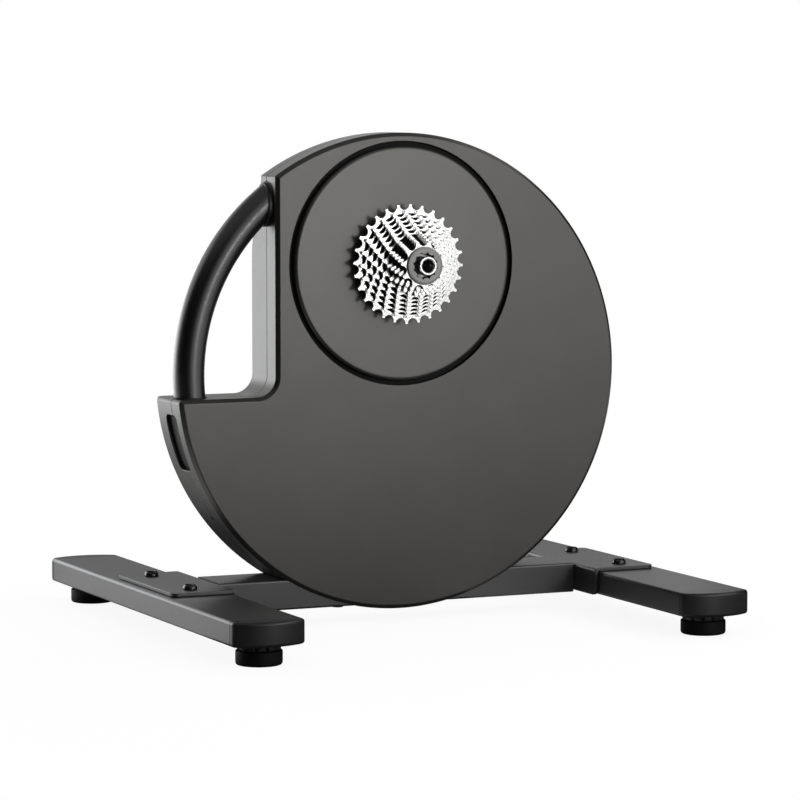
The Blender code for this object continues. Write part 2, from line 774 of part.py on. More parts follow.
def make_vent_grille():
    """A curved slotted plate that lies against the inside of the rim, behind the vent."""
    outer = disc_radius - wall - grille_clearance
    inner = outer - grille_thickness
    half_turn = math.degrees((vent_length / 2 + grille_margin) / outer)
    start, end = vent_angle - half_turn, vent_angle + half_turn
    section = arc((0, 0), outer, start, end, 8) + arc((0, 0), inner, end, start, 8)
    grille = add_object("vent_grille", plate(section, vent_from - grille_margin, vent_to + grille_margin),
                        satin_black)
    turn = math.radians(vent_angle)
    for index in range(grille_slots):
        along = (index - (grille_slots - 1) / 2) * vent_length / (grille_slots + 1.5)
        outline = [(along + lean + thick, across)
                   for lean, across, thick in ((-0.004, -0.010, -0.0009), (-0.004, -0.010, 0.0009),
                                               (0.004, 0.010, 0.0009), (0.004, 0.010, -0.0009))]
        middle = at_depth((vent_from + vent_to) / 2)
        loops = [[(r * math.cos(turn) - u * math.sin(turn), middle + v,
                   disc_height + r * math.sin(turn) + u * math.cos(turn)) for u, v in outline]
                 for r in (inner - wall, outer + wall)]
        cut(grille, add_object("vent_grille_slot_%d" % index, loft(loops)))
    radial_rod("status_light", light_angle, light_depth, light_radius, disc_radius - wall - 0.004,
               disc_radius - light_recess, lens)


def make_spine():
    """The cast frame that carries the axle, flywheel, brake, idler and handle."""
    foot = spine_foot_bottom - disc_height
    top = hub_height
    column = [(-spine_base_width / 2, foot + 0.001), (spine_base_width / 2, foot + 0.001),
              (spine_top_width / 2, top), (-spine_top_width / 2, top)]
    spine = add_object("spine", plate(column, spine_from, spine_to), cast_alloy)
    half_base = spine_base_width / 2
    base = add_object("spine_base", box((-half_base, at_depth(spine_foot_from), spine_foot_bottom),
                                        (half_base, at_depth(flywheel_from) - 4 * gap,
                                         spine_foot_bottom + spine_foot_height)))
    boss = hub_rod("spine_hub_boss", hub_boss_radius, spine_from - 0.0004, spine_to + 0.004,
                   segments=32, phase=0.0)
    upper_end = handle_point(upper_arm_angle)
    lower_end = handle_point(lower_arm_angle)
    arm_half = arm_radius - 0.001
    upper_arm = add_object("spine_upper_arm", plate(bar((0.0, hub_height), upper_end, arm_half),
                                                    spine_from + 0.0004, spine_to - 0.0006))
    lower_arm = add_object("spine_lower_arm", plate(bar((0.0, lower_arm_root), lower_end, arm_half),
                                                    spine_from + 0.0004, spine_to - 0.0006))
    join(spine, base, boss, upper_arm, lower_arm)
    spigot_radius = handle_tube_radius - handle_wall - spigot_clearance
    for name, arm_angle, direction in (("upper", upper_arm_angle, 1), ("lower", lower_arm_angle, -1)):
        end_x, end_z = handle_point(arm_angle)
        pad = rod("spine_%s_pad" % name, end_x, end_z, arm_radius, handle_depth - spigot_radius - 0.001,
                  spine_to - 0.0015)
        reach = arm_angle + direction * math.degrees((arm_radius + spigot_length) / handle_arc_radius)
        start = arm_angle + direction * 0.7
        loops = [handle_section(start + (reach - start) * i / 3, spigot_radius, 16) for i in range(4)]
        join(spine, pad, add_object("spine_%s_spigot" % name, loft(loops)))
    pivot_x, pivot_z = idler_pivot()
    join(spine, rod("spine_idler_pivot", pivot_x, pivot_z, idler_pivot_radius, pulley_from + 0.006,
                    spine_from + 0.002))
    for index, corner in enumerate(((-1, 1), (1, 1))):
        x = board_centre[0] + corner[0] * (board_size[0] / 2 - 0.012)
        z = lower_arm_line(x)
        join(spine, rod("spine_board_post_%d" % index, x, z, 0.004, spine_to - 0.002,
                        spine_to + board_standoff, segments=12))
    cut(spine, hub_rod("spine_axle_bore", axle_radius + gap, spine_from - 0.01, spine_to + 0.01))
    cut(spine, rod("spine_shaft_bore", flywheel_x, flywheel_z, shaft_bearing_radius + gap,
                   spine_from - 0.01, spine_to + 0.01, segments=32))
    for side in (-1, 1):
        hole = turned(rod_profile(bolt_shank_radius + gap, spine_foot_bottom - 0.01,
                                  crossbar_top + spine_foot_height * 0.8 + gap),
                      (side * frame_bolt_offset, 0, 0), "Z", 12)
        cut(spine, add_object("spine_bolt_hole_%d" % side, hole))


def lower_arm_line(x):
    """Height of the lower arm's middle line at an X place on the disc."""
    end_x, end_z = handle_point(lower_arm_angle)
    return lower_arm_root + (end_z - lower_arm_root) * x / end_x


def belt_direction():
    """Unit vector from the drive pulley's centre to the motor pulley's, and their distance."""
    dx, dz = flywheel_x, flywheel_z - hub_height
    distance = math.hypot(dx, dz)
    return dx / distance, dz / distance, distance


def belt_outline(extra):
    """The belt's path round both pulleys, outside them by an extra distance."""
    ux, uz, distance = belt_direction()
    heading = math.degrees(math.atan2(uz, ux))
    lean = math.degrees(math.acos((pulley_radius - motor_pulley_radius) / distance))
    big = arc((0, hub_height), pulley_radius + extra, heading + lean, heading + 360 - lean, 28)
    small = arc((flywheel_x, flywheel_z), motor_pulley_radius + extra, heading - lean, heading + lean, 8)
    return big + small


def idler_axis():
    """Centre of the idler, against the outside of the belt's left run."""
    ux, uz, distance = belt_direction()
    lean = math.acos((pulley_radius - motor_pulley_radius) / distance)
    heading = math.atan2(uz, ux) - lean
    normal = (math.cos(heading), math.sin(heading))
    reach = belt_thickness + gap + gap + idler_radius
    start = (normal[0] * pulley_radius, hub_height + normal[1] * pulley_radius)
    end = (flywheel_x + normal[0] * motor_pulley_radius, flywheel_z + normal[1] * motor_pulley_radius)
    x = start[0] + (end[0] - start[0]) * idler_position + normal[0] * reach
    z = start[1] + (end[1] - start[1]) * idler_position + normal[1] * reach
    return x, z


def idler_pivot():
    """Pivot of the idler arm, below the idler along the belt's run."""
    x, z = idler_axis()
    return x + idler_arm_reach * 0.42, z - idler_arm_reach * 0.91


def make_drive():
    """Axle, end caps, bearings, drive pulley and belt."""
    axle_front = drive_end_depth + drive_cap_length + gap
    axle_rear = rear_end_depth - rear_cap_length - gap
    hub_ring("axle", axle_bore_radius, axle_radius, axle_front, axle_rear, grey_steel, 24)
    hub_ring("end_cap_drive_side", axle_bore_radius, end_cap_radius, drive_end_depth,
             drive_end_depth + drive_cap_length, bright_steel, 24)
    hub_ring("end_cap_rear", axle_bore_radius, end_cap_radius, rear_end_depth - rear_cap_length,
             rear_end_depth, bright_steel, 24)
    bearing_front = pulley_hub_front + 0.0075
    hub_ring("pulley_bearing", axle_radius + gap, pulley_bearing_radius, bearing_front,
             spine_from - gap - 0.0004, grey_steel, 24)
    rim_inner = pulley_radius - pulley_rim
    web_from = (pulley_from + pulley_to - pulley_web) / 2
    web_to = web_from + pulley_web
    seat = pulley_bearing_radius + gap
    cup = freehub_skirt_radius + running_gap
    profile = [(cup, pulley_hub_front), (pulley_hub_radius, pulley_hub_front), (pulley_hub_radius, web_from),
               (rim_inner, web_from), (rim_inner, pulley_from), (pulley_radius, pulley_from),
               (pulley_radius, pulley_to), (rim_inner, pulley_to), (rim_inner, web_to),
               (pulley_hub_radius, web_to), (pulley_hub_radius, pulley_to), (seat, pulley_to),
               (seat, bearing_front), (cup, bearing_front)]
    pulley = add_object("drive_pulley",
                        turned([(r, at_depth(d)) for r, d in profile], (0, 0, hub_z), segments=28), cast_alloy)
    ride_on(pulley, add_empty("drive_axis", (0, at_depth(pulley_from), hub_z)))
    edges = (pulley_from + belt_inset, pulley_to - belt_inset)
    outside = [[(x, at_depth(d), disc_height + z) for x, z in belt_outline(belt_thickness + gap)] for d in edges]
    inside = [[(x, at_depth(d), disc_height + z) for x, z in belt_outline(gap)] for d in reversed(edges)]
    add_object("belt", loft(outside + inside, closed=True), rubber)


def sprocket_outline(teeth):
    """Toothed outline from the pitch circle: each tooth is a blunt wedge."""
    pitch_radius = chain_pitch / (2 * math.sin(math.pi / teeth))
    tip = pitch_radius + chain_pitch * 0.18
    root = pitch_radius - tooth_depth
    step = 360 / teeth
    points = []
    for i in range(teeth):
        middle = step * i
        for share, radius in ((-0.5, root), (-0.14, tip), (0.14, tip)):
            turn = math.radians(middle + share * step)
            points.append((radius * math.cos(turn), radius * math.sin(turn)))
    return points


def sprocket_disc(name, teeth, index, material=None):
    middle = large_sprocket_depth - index * sprocket_pitch
    faces = (middle - sprocket_thickness / 2, middle + sprocket_thickness / 2)
    outline = sprocket_outline(teeth)
    return add_object(name, loft([[(x, at_depth(d), hub_z + z) for x, z in outline] for d in faces]), material)


def make_cassette():
    """Freehub body with two riveted clusters, five single sprockets and the lockring."""
    axis = add_empty("freehub_axis", (0, at_depth(large_sprocket_depth), hub_z))
    mouth = small_sprocket_front - gap + lockring_depth
    shoulder = large_sprocket_depth + sprocket_thickness / 2 + gap
    thread_seat = lockring_thread + gap
    profile = [(axle_radius + running_gap, mouth), (thread_seat, mouth), (thread_seat, freehub_front),
               (freehub_radius, freehub_front), (freehub_radius, shoulder), (freehub_flange_radius, shoulder),
               (freehub_flange_radius, shoulder + 0.003), (freehub_skirt_radius, shoulder + 0.003),
               (freehub_skirt_radius, pulley_hub_front + 0.0065),
               (axle_radius + running_gap, pulley_hub_front + 0.0065)]
    body = add_object("freehub_body", turned([(r, at_depth(d)) for r, d in profile], (0, 0, hub_z), segments=24),
                      grey_steel)
    ride_on(body, axis)
    bore = freehub_radius + gap
    index = 0
    for name, teeth_row in cluster_teeth.items():
        first = index
        cluster = sprocket_disc(name, teeth_row[0], index, bright_steel)
        for teeth in teeth_row[1:]:
            index += 1
            join(cluster, sprocket_disc("%s_ring_%d" % (name, teeth), teeth, index))
        back = large_sprocket_depth - first * sprocket_pitch + sprocket_thickness / 2 - 0.0003
        front = large_sprocket_depth - index * sprocket_pitch - (sprocket_pitch - sprocket_thickness / 2) + gap
        join(cluster, hub_rod(name + "_drum", cluster_drum, front, back, segments=24))
        cut(cluster, hub_rod(name + "_bore", bore, front - 0.01, back + 0.01, segments=20, phase=0.0))
        ride_on(cluster, axis)
        index += 1
    for teeth in single_teeth:
        name = "sprocket_%d" % teeth
        sprocket = sprocket_disc(name, teeth, index, bright_steel)
        middle = large_sprocket_depth - index * sprocket_pitch
        if teeth != single_teeth[-1]:
            front = middle - (sprocket_pitch - sprocket_thickness / 2) + gap
            join(sprocket, hub_rod(name + "_drum", single_drum, front, middle, segments=20))
        cut(sprocket, hub_rod(name + "_bore", bore, middle - 0.01, middle + 0.01, segments=20, phase=0.0))
        ride_on(sprocket, axis)
        index += 1
    face = small_sprocket_front - gap
    profile = [(lockring_bore, face - lockring_thickness), (lockring_radius - 0.0006, face - lockring_thickness),
               (lockring_radius, face - lockring_thickness + 0.0006), (lockring_radius, face),
               (lockring_thread, face), (lockring_thread, mouth - gap), (lockring_bore, mouth - gap)]
    lockring = add_object("lockring", turned([(r, at_depth(d)) for r, d in profile], (0, 0, hub_z), segments=28),
                          grey_steel)
    ride_on(lockring, axis)


def make_flywheel():
    """Shaft with its belt pulley, bearing, cup-shaped flywheel and the brake inside it."""
    centre = (flywheel_x, 0, disc_height + flywheel_z)
    axis = add_empty("flywheel_axis", (flywheel_x, at_depth(flywheel_from), disc_height + flywheel_z))
    shoulder = shaft_radius + 0.003
    profile = [(0.0, pulley_from - 0.001), (shaft_radius, pulley_from - 0.001), (shaft_radius, pulley_from),
               (motor_pulley_radius, pulley_from), (motor_pulley_radius, pulley_to),
               (shoulder, pulley_to), (shoulder, spine_from - gap), (shaft_radius, spine_from - gap),
               (shaft_radius, flywheel_to), (0.0, flywheel_to)]
    shaft = add_object("flywheel_shaft", turned([(r, at_depth(d)) for r, d in profile], centre, segments=20),
                       grey_steel)
    ride_on(shaft, axis)
    add_object("flywheel_bearing",
               turned(ring_profile(shaft_radius + gap, shaft_bearing_radius, at_depth(spine_from),
                                   at_depth(spine_to)), centre, segments=20), grey_steel)
    web_from = flywheel_to - flywheel_web
    rim_inner = flywheel_radius - flywheel_rim
    hub_from = web_from - 0.0035
    profile = [(shaft_radius + gap, hub_from), (0.016, hub_from), (0.016, web_from), (rim_inner, web_from),
               (rim_inner, flywheel_from), (flywheel_radius, flywheel_from), (flywheel_radius, flywheel_to),
               (shaft_radius + gap, flywheel_to)]
    flywheel = add_object("flywheel", turned([(r, at_depth(d)) for r, d in profile], centre, segments=32),
                          black_steel)
    ride_on(flywheel, axis)
    make_brake(centre)


def make_brake(centre):
    """Fixed laminated core with four poles, a coil round each, inside the flywheel's rim."""
    bore = shaft_radius + 0.004
    core = add_object("brake_core",
                      turned(ring_profile(bore, brake_hub_radius, at_depth(spine_to + gap),
                                          at_depth(brake_to - 0.0005)), centre, segments=24), black_steel)
    pole_start = brake_hub_radius - 0.003
    shoe_start = brake_reach - 0.006
    coil_start = (brake_hub_radius + shoe_start) / 2 - coil_length / 2
    for i in range(brake_poles):
        turn = Matrix.Rotation(math.radians(45 + 360 * i / brake_poles), 4, "Y")
        place = Matrix.Translation((centre[0], 0, centre[2])) @ turn
        half = brake_pole_width / 2
        pole = box((-half, at_depth(brake_from), pole_start), (half, at_depth(brake_to), shoe_start + 0.002))
        shoe = box((-half - 0.008, at_depth(brake_from - 0.0005), shoe_start),
                   (half + 0.008, at_depth(brake_to + 0.0005), brake_reach))
        for label, mesh_data in (("pole", pole), ("shoe", shoe)):
            mesh_data.transform(place)
            join(core, add_object("brake_core_%s_%d" % (label, i), mesh_data))
        middle = at_depth((brake_from + brake_to) / 2)
        depth_half = (brake_to - brake_from) / 2
        outer = rounded_rectangle(brake_pole_width + 2 * gap + 2 * coil_wall,
                                  2 * depth_half + 2 * gap + coil_wall, 0.0028, 2)
        inner = rounded_rectangle(brake_pole_width + 2 * gap, 2 * depth_half + 2 * gap, 0.0002, 2)
        levels = (coil_start, coil_start + coil_length)
        loops = ([[(u, middle + v, level) for u, v in outer] for level in levels]
                 + [[(u, middle + v, level) for u, v in inner] for level in reversed(levels)])
        coil = loft(loops, closed=True)
        coil.transform(place)
        add_object("brake_coil_%d" % (i + 1), coil, copper)


def make_idler():
    """Sprung arm on the cast frame, with a flat pulley that runs on the belt's back."""
    x, z = idler_axis()
    pivot_x, pivot_z = idler_pivot()
    arm_back = spine_from - gap - 0.0004
    arm_front = arm_back - idler_arm_thickness
    arm = add_object("idler_arm", plate(bar((pivot_x, pivot_z), (x, z), 0.0095), arm_front, arm_back),
                     black_steel)
    wheel_from = pulley_from + belt_inset
    wheel_to = arm_front - gap
    join(arm, rod("idler_arm_stud", x, z, idler_stud_radius, wheel_from - 0.001, arm_back - 0.0005))
    cut(arm, rod("idler_arm_bore", pivot_x, pivot_z, idler_pivot_radius + gap, arm_front - 0.01,
                 arm_back + 0.01))
    ride_on(arm, add_empty("idler_arm_axis", (pivot_x, at_depth(arm_front), disc_height + pivot_z)))
    wheel = add_object("idler_pulley",
                       turned(ring_profile(idler_stud_radius + gap, idler_radius, at_depth(wheel_from),
                                           at_depth(wheel_to)), (x, 0, disc_height + z), segments=24), grey_steel)
    ride_on(wheel, add_empty("idler_pulley_axis", (x, at_depth(wheel_from), disc_height + z)))


def make_electronics():
    """Control board, flywheel speed sensor and the power inlet."""
    centre_x, centre_z = board_centre
    half_x, half_z = board_size[0] / 2, board_size[1] / 2
    board_front = spine_to + board_standoff + gap
    outline = [(centre_x + u, centre_z + v) for u, v in rounded_rectangle(2 * half_x, 2 * half_z, 0.003, 2)]
    add_object("control_board", plate(outline, board_front, board_front + board_thickness), board_green)
    x, z = flywheel_x + sensor_offset[0], flywheel_z + sensor_offset[1]
    outline = [(x + u, z + v) for u, v in rounded_rectangle(*sensor_size, 0.001, 1)]
    add_object("speed_sensor", plate(outline, spine_to + gap, spine_to + gap + sensor_thickness), satin_black)
    face = housing_depth + gap
    bottom = face - inlet_length + 0.003
    profile = [(0.0, face - inlet_length), (inlet_radius, face - inlet_length), (inlet_radius, face),
               (inlet_flange, face), (inlet_flange, face + 0.0012), (inlet_bore, face + 0.0012),
               (inlet_bore, bottom), (inlet_pin, bottom), (inlet_pin, face - 0.001), (0.0, face - 0.001)]
    placed = [(r, at_depth(d)) for r, d in profile]
    add_object("power_inlet", turned(placed, (inlet_centre[0], 0, disc_height + inlet_centre[1]), segments=20),
               satin_black)


make_legs()
make_brackets()
make_crossbar()
make_front_shell()
make_rear_shell()
make_hub_cover()
make_handle()
make_vent_grille()
make_spine()
make_drive()
make_cassette()
make_flywheel()
make_idler()
make_electronics()
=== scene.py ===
import math

import bmesh
import bpy
import numpy as np
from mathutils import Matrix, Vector


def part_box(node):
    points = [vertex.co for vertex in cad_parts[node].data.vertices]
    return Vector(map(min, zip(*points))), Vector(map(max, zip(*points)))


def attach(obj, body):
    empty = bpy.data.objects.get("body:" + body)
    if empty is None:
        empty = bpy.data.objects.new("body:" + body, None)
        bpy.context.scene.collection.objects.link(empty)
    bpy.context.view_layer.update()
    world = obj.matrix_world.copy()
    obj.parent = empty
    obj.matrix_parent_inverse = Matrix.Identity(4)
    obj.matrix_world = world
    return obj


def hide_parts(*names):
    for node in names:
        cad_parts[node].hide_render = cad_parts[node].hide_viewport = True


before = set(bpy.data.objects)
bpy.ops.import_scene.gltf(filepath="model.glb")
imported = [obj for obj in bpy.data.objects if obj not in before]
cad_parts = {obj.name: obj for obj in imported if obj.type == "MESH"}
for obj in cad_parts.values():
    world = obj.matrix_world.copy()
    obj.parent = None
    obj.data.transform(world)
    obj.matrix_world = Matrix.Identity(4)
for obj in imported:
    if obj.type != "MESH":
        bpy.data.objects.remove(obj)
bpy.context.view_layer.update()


# Legs. Two flat aluminium extrusions with three chambers inside, sawn to length, drilled for the
# bracket bolts and the feet, and powder coated black. The end caps close them.

sharp_from = math.radians(32)


def arc(centre, radius, start, end, steps):
    """Points at centre + radius * (cos t, sin t), with t in degrees from start to end."""
    turn = np.radians(np.linspace(start, end, steps + 1))
    return np.array(centre) + radius * np.column_stack([np.cos(turn), np.sin(turn)])


def rectangle(width, height, corner, steps=8):
    """Outline of a rectangle round the origin: four quarter arcs whose centres lie one corner
    radius inside each side."""
    x, y = width / 2 - corner, height / 2 - corner
    centres = ((x, y), (-x, y), (-x, -y), (x, -y))
    return np.concatenate([arc(centre, corner, 90 * quarter, 90 * quarter + 90, steps)
                           for quarter, centre in enumerate(centres)])


def new_object(name, data):
    """Object for a mesh, lamp or camera, at the origin and in the scene."""
    made = bpy.data.objects.new(name, data)
    bpy.context.scene.collection.objects.link(made)
    return made


def mesh_object(name, points, faces):
    """Object from points, and from faces that list their points' numbers."""
    mesh = bpy.data.meshes.new(name)
    mesh.from_pydata(points, [], faces)
    return new_object(name, mesh)


def settle(piece):
    """Merges doubles, points the faces outwards and shades smooth up to the sharp angle."""
    shape = bmesh.new()
    shape.from_mesh(piece.data)
    bmesh.ops.remove_doubles(shape, verts=shape.verts, dist=1e-6)
    bmesh.ops.recalc_face_normals(shape, faces=shape.faces)
    shape.to_mesh(piece.data)
    shape.free()
    piece.data.shade_smooth()
    piece.data.set_sharp_from_angle(angle=sharp_from)
    return piece


def skin(name, rings, looped=False):
    """Surface over rings of points, an array of rows x points x 3: each four neighbours make a
    face. Flat faces close the first and last ring, or the two are joined when looped."""
    rings = np.asarray(rings, float)
    rows, count = rings.shape[:2]
    index = np.arange(rows * count).reshape(rows, count)
    near, far = (index, np.roll(index, -1, 0)) if looped else (index[:-1], index[1:])
    faces = np.stack([near, np.roll(near, -1, 1), np.roll(far, -1, 1), far], -1).reshape(-1, 4).tolist()
    if not looped:
        faces += [index[0].tolist(), index[-1][::-1].tolist()]
    return settle(mesh_object(name, rings.reshape(-1, 3), faces))


def along_y(outlines, places, centre):
    """Rings at places along Y from outlines in X and Z: centre + (u, 0, v), with Y set."""
    rings = [np.insert(outline, 1, place, 1) for outline, place in zip(outlines, places)]
    return np.stack(rings) + np.array([centre[0], 0.0, centre[1]])


def turned(radius, along, origin, axis=(0, 0, 1), segments=64):
    """Rings of a turned shape: origin + along * axis + radius * (side * cos t + up * sin t).
    The radius is one number for each ring, or one for each point of it."""
    axis = np.array(axis, float)
    side = np.cross(axis, (0, 0, 1) if abs(axis[2]) < 0.9 else (0, -1, 0))
    side /= np.linalg.norm(side)
    up = np.cross(side, axis)
    turn = np.linspace(0, 2 * np.pi, segments, endpoint=False)
    ring = np.cos(turn)[:, None] * side + np.sin(turn)[:, None] * up
    radius = np.asarray(radius, float)
    if radius.ndim == 1:
        radius = radius[:, None]
    return np.array(origin, float) + np.asarray(along)[:, None, None] * axis + radius[..., None] * ring


def carve(piece, *tools, action="DIFFERENCE"):
    """Takes each tool's shape out of the piece, or adds it, for good. The tools are removed."""
    for tool in tools:
        step = piece.modifiers.new(action.lower(), "BOOLEAN")
        step.operation = action
        step.solver = "EXACT"
        step.object = tool
        whole = piece.evaluated_get(bpy.context.evaluated_depsgraph_get())
        piece.data = bpy.data.meshes.new_from_object(whole)
        piece.modifiers.clear()
        bpy.data.objects.remove(tool)
    settle(piece)


def drill(radius, start, end, origin, axis=(0, 0, 1), segments=32):
    """Round rod along an axis, from one distance off the origin to another: a shape to carve with."""
    return skin("drill", turned([radius, radius], [start, end], origin, axis, segments))


def even_shading(piece):
    """Big flat faces keep their own direction, so that only the rounded edges shade."""
    step = piece.modifiers.new("even shading", "WEIGHTED_NORMAL")
    step.keep_sharp = True
    step.weight = 80
    return piece


def add_node(tree, kind, inputs, output=0, **choices):
    """Adds a shader node and gives its output. Each of its inputs, by name or number, takes a
    value or another node's output."""
    made = tree.nodes.new("ShaderNode" + kind)
    for choice, value in choices.items():
        setattr(made, choice, value)
    for place, value in inputs.items():
        if isinstance(value, bpy.types.NodeSocket):
            tree.links.new(value, made.inputs[place])
        else:
            made.inputs[place].default_value = value
    return made.outputs[output]


def own_place(tree):
    """The piece's own coordinates, in metres."""
    return add_node(tree, "TexCoord", {}, "Object")


def noise(tree, size):
    """Noise whose lumps have the given size in metres."""
    return add_node(tree, "TexNoise", {"Scale": 1 / size, "Detail": 3.0, "Vector": own_place(tree)}, "Fac")


def spread(tree, pattern, low, high):
    """Maps a pattern's middle part, from 0.3 to 0.7, to the span from low to high."""
    return add_node(tree, "MapRange", {"Value": pattern, "From Min": 0.3, "From Max": 0.7,
                                       "To Min": low, "To Max": high}, "Result")


def two_tone(tree, pattern, colour, change):
    """Colour that moves with a pattern from its darker to its lighter share."""
    darker, lighter = [(*[c * share for c in colour], 1) for share in (1 - change, 1 + change)]
    return add_node(tree, "Mix", {"A": darker, "B": lighter, "Factor": spread(tree, pattern, 0, 1)},
                    "Result", data_type="RGBA")


def new_finish(name, metallic, specular):
    """Material whose metallic and specular values are even all over the surface."""
    material = bpy.data.materials.new(name)
    material.use_nodes = True
    shader = material.node_tree.nodes["Principled BSDF"]
    shader.inputs["Metallic"].default_value = metallic
    shader.inputs["Specular IOR Level"].default_value = specular
    return material, material.node_tree


def surface(tree, colour, roughness, height=None, depth=0.0):
    """Leads a colour and a roughness to the shader, and lifts the surface by the height pattern
    times the depth in metres."""
    inputs = tree.nodes["Principled BSDF"].inputs
    tree.links.new(colour, inputs["Base Color"])
    tree.links.new(roughness, inputs["Roughness"])
    if height is not None:
        bump = add_node(tree, "Bump", {"Distance": depth, "Height": height}, "Normal")
        tree.links.new(bump, inputs["Normal"])


def grained(name, colour, roughness, grain, depth, change=0.05, metallic=0.0, specular=0.5):
    """Painted, moulded or cast finish: slow patches change the colour a little, and fine noise of
    the grain's size changes the roughness and lifts the surface by the depth."""
    material, tree = new_finish(name, metallic, specular)
    patches, fine = noise(tree, 0.05), noise(tree, grain)
    surface(tree, two_tone(tree, patches, colour, change),
            spread(tree, fine, roughness * 0.9, roughness * 1.12), fine, depth)
    return material


def fit(piece, material, slot, body, *nodes):
    """Gives the piece its finish and the body it moves with, and hides the nodes it stands for. The slot is
    not used.
    """
    piece.data.materials.clear()
    piece.data.materials.append(material)
    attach(piece, body)
    if nodes:
        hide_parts(*nodes)


cut_margin = 0.01
leg_edge = 0.003
leg_end_chamfer = 0.0004
leg_wall = 0.0025
chamber_corner = 0.001
leg_middle_chamber = 0.026
leg_side_chamber = 0.0185
leg_side_offset = 0.02425
bolt_spacing = 0.106
bolt_hole_radius = 0.0043
bolt_hole_depth = 0.006
foot_y = 0.2284
stud_hole_radius = 0.0056
stud_hole_depth = 0.004
leg_coat = grained("leg_powder_coat", (0.122, 0.121, 0.122), 0.40, 0.0011, 0.00004,
                   metallic=0.85, specular=0.4)
for side in ("left", "right"):
    low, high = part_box("leg_" + side)
    middle = (low + high) / 2
    width, _, height = high - low
    insets = (leg_end_chamfer, 0, 0, leg_end_chamfer)
    places = (low.y, low.y + leg_end_chamfer, high.y - leg_end_chamfer, high.y)
    outlines = [rectangle(width - 2 * inset, height - 2 * inset, leg_edge - inset) for inset in insets]
    leg = skin("leg_shape_" + side, along_y(outlines, places, (middle.x, middle.z)))
    for offset, chamber in ((-leg_side_offset, leg_side_chamber), (0, leg_middle_chamber),
                            (leg_side_offset, leg_side_chamber)):
        outline = rectangle(chamber, height - 2 * leg_wall, chamber_corner, 3)
        ends = (low.y - cut_margin, high.y + cut_margin)
        carve(leg, skin("chamber", along_y([outline] * 2, ends, (middle.x + offset, middle.z))))
    for end in (-1, 1):
        carve(leg, drill(bolt_hole_radius, high.z - bolt_hole_depth, high.z + cut_margin,
                         (middle.x, end * bolt_spacing / 2, 0)),
              drill(stud_hole_radius, low.z - cut_margin, low.z + stud_hole_depth,
                    (middle.x, end * foot_y, 0)))
    fit(even_shading(leg), leg_coat, "leg_paint", "frame", "leg_" + side)


# End caps. Black moulded nylon, bulged at the nose. Each has three plugs pressed into the leg's
# chambers and a threaded hole for the foot's stud, and its edges follow the leg's rounding.

cap_gap = 0.0003
cap_straight = 0.008
cap_bulge = 0.012
cap_corner = 0.007
cap_border = 0.0006
cap_plug = 0.030
cap_side_plug = 0.012
plug_clearance = 0.0006
plug_corner = 0.0011
plug_root = 0.002
cap_thread_radius = 0.0053
cap_thread_top = 0.0203
cap_plastic = grained("cap_moulded_nylon", (0.060, 0.060, 0.061), 0.37, 0.0009, 0.00003,
                      metallic=0.7, specular=0.45)


def rounded_edge(radius, steps):
    """Rows (inset, depth) of an edge's rounding, from the face to the side: radius (1 - cos t)
    and radius (1 - sin t), with t from 90 to 0 degrees."""
    turn = np.radians(np.linspace(90, 0, steps + 1))
    return radius * (1 - np.column_stack([np.cos(turn), np.sin(turn)]))


def cap_outline(half, inset):
    """Plan of a cap: straight root, then two corner arcs joined by the nose, an arc whose radius
    is (half width squared + bulge squared) / (2 bulge)."""
    bow = (half ** 2 + cap_bulge ** 2) / (2 * cap_bulge)
    centre_y = cap_straight + cap_bulge - bow
    corner_x = half - cap_corner
    corner_y = centre_y + math.sqrt((bow - cap_corner) ** 2 - corner_x ** 2)
    swing = math.degrees(math.atan2(corner_y - centre_y, corner_x))
    return np.concatenate([[(half - inset, 0.0)],
                           arc((corner_x, corner_y), cap_corner - inset, 0, swing, 9)[:-1],
                           arc((0, centre_y), bow - inset, swing, 180 - swing, 32),
                           arc((-corner_x, corner_y), cap_corner - inset, 180 - swing, 180, 9)[1:],
                           [(-half + inset, 0.0)]])


for side in ("left", "right"):
    low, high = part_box("leg_" + side)
    middle = (low + high) / 2
    width, _, height = high - low
    root = high.y + cap_gap
    edge = rounded_edge(leg_edge, 8)
    border = [leg_edge + cap_border]
    insets = np.concatenate([border, edge[:, 0], edge[::-1, 0], border])
    levels = np.concatenate([[low.z], low.z + edge[:, 1], high.z - edge[::-1, 1], [high.z]])
    for place, end in (("front", -1), ("rear", 1)):
        rings = np.stack([np.insert(cap_outline(width / 2, inset), 2, level, 1)
                          for inset, level in zip(insets, levels)])
        rings[..., 0] += middle.x
        rings[..., 1] = end * (root + rings[..., 1])
        cap = skin("cap_shape_%s_%s" % (side, place), rings)
        for offset, chamber, reach in ((0, leg_middle_chamber, cap_plug),
                                       (-leg_side_offset, leg_side_chamber, cap_side_plug),
                                       (leg_side_offset, leg_side_chamber, cap_side_plug)):
            outline = rectangle(chamber - plug_clearance, height - 2 * leg_wall - plug_clearance,
                                plug_corner, 3)
            ends = (end * (root + plug_root), end * (root - reach))
            plug = skin("plug", along_y([outline] * 2, ends, (middle.x + offset, middle.z)))
            carve(cap, plug, action="UNION")
        carve(cap, drill(cap_thread_radius, low.z - cut_margin, low.z + cap_thread_top,
                         (middle.x, end * foot_y, 0)))
        fit(even_shading(cap), cap_plastic, "cap_plastic", "frame", "leg_cap_%s_%s" % (side, place))


# Feet. A black nylon thumb wheel with finger notches turns on the stud under each cap, and lets
# down a rubber pad on its threaded steel stud, to level the trainer.

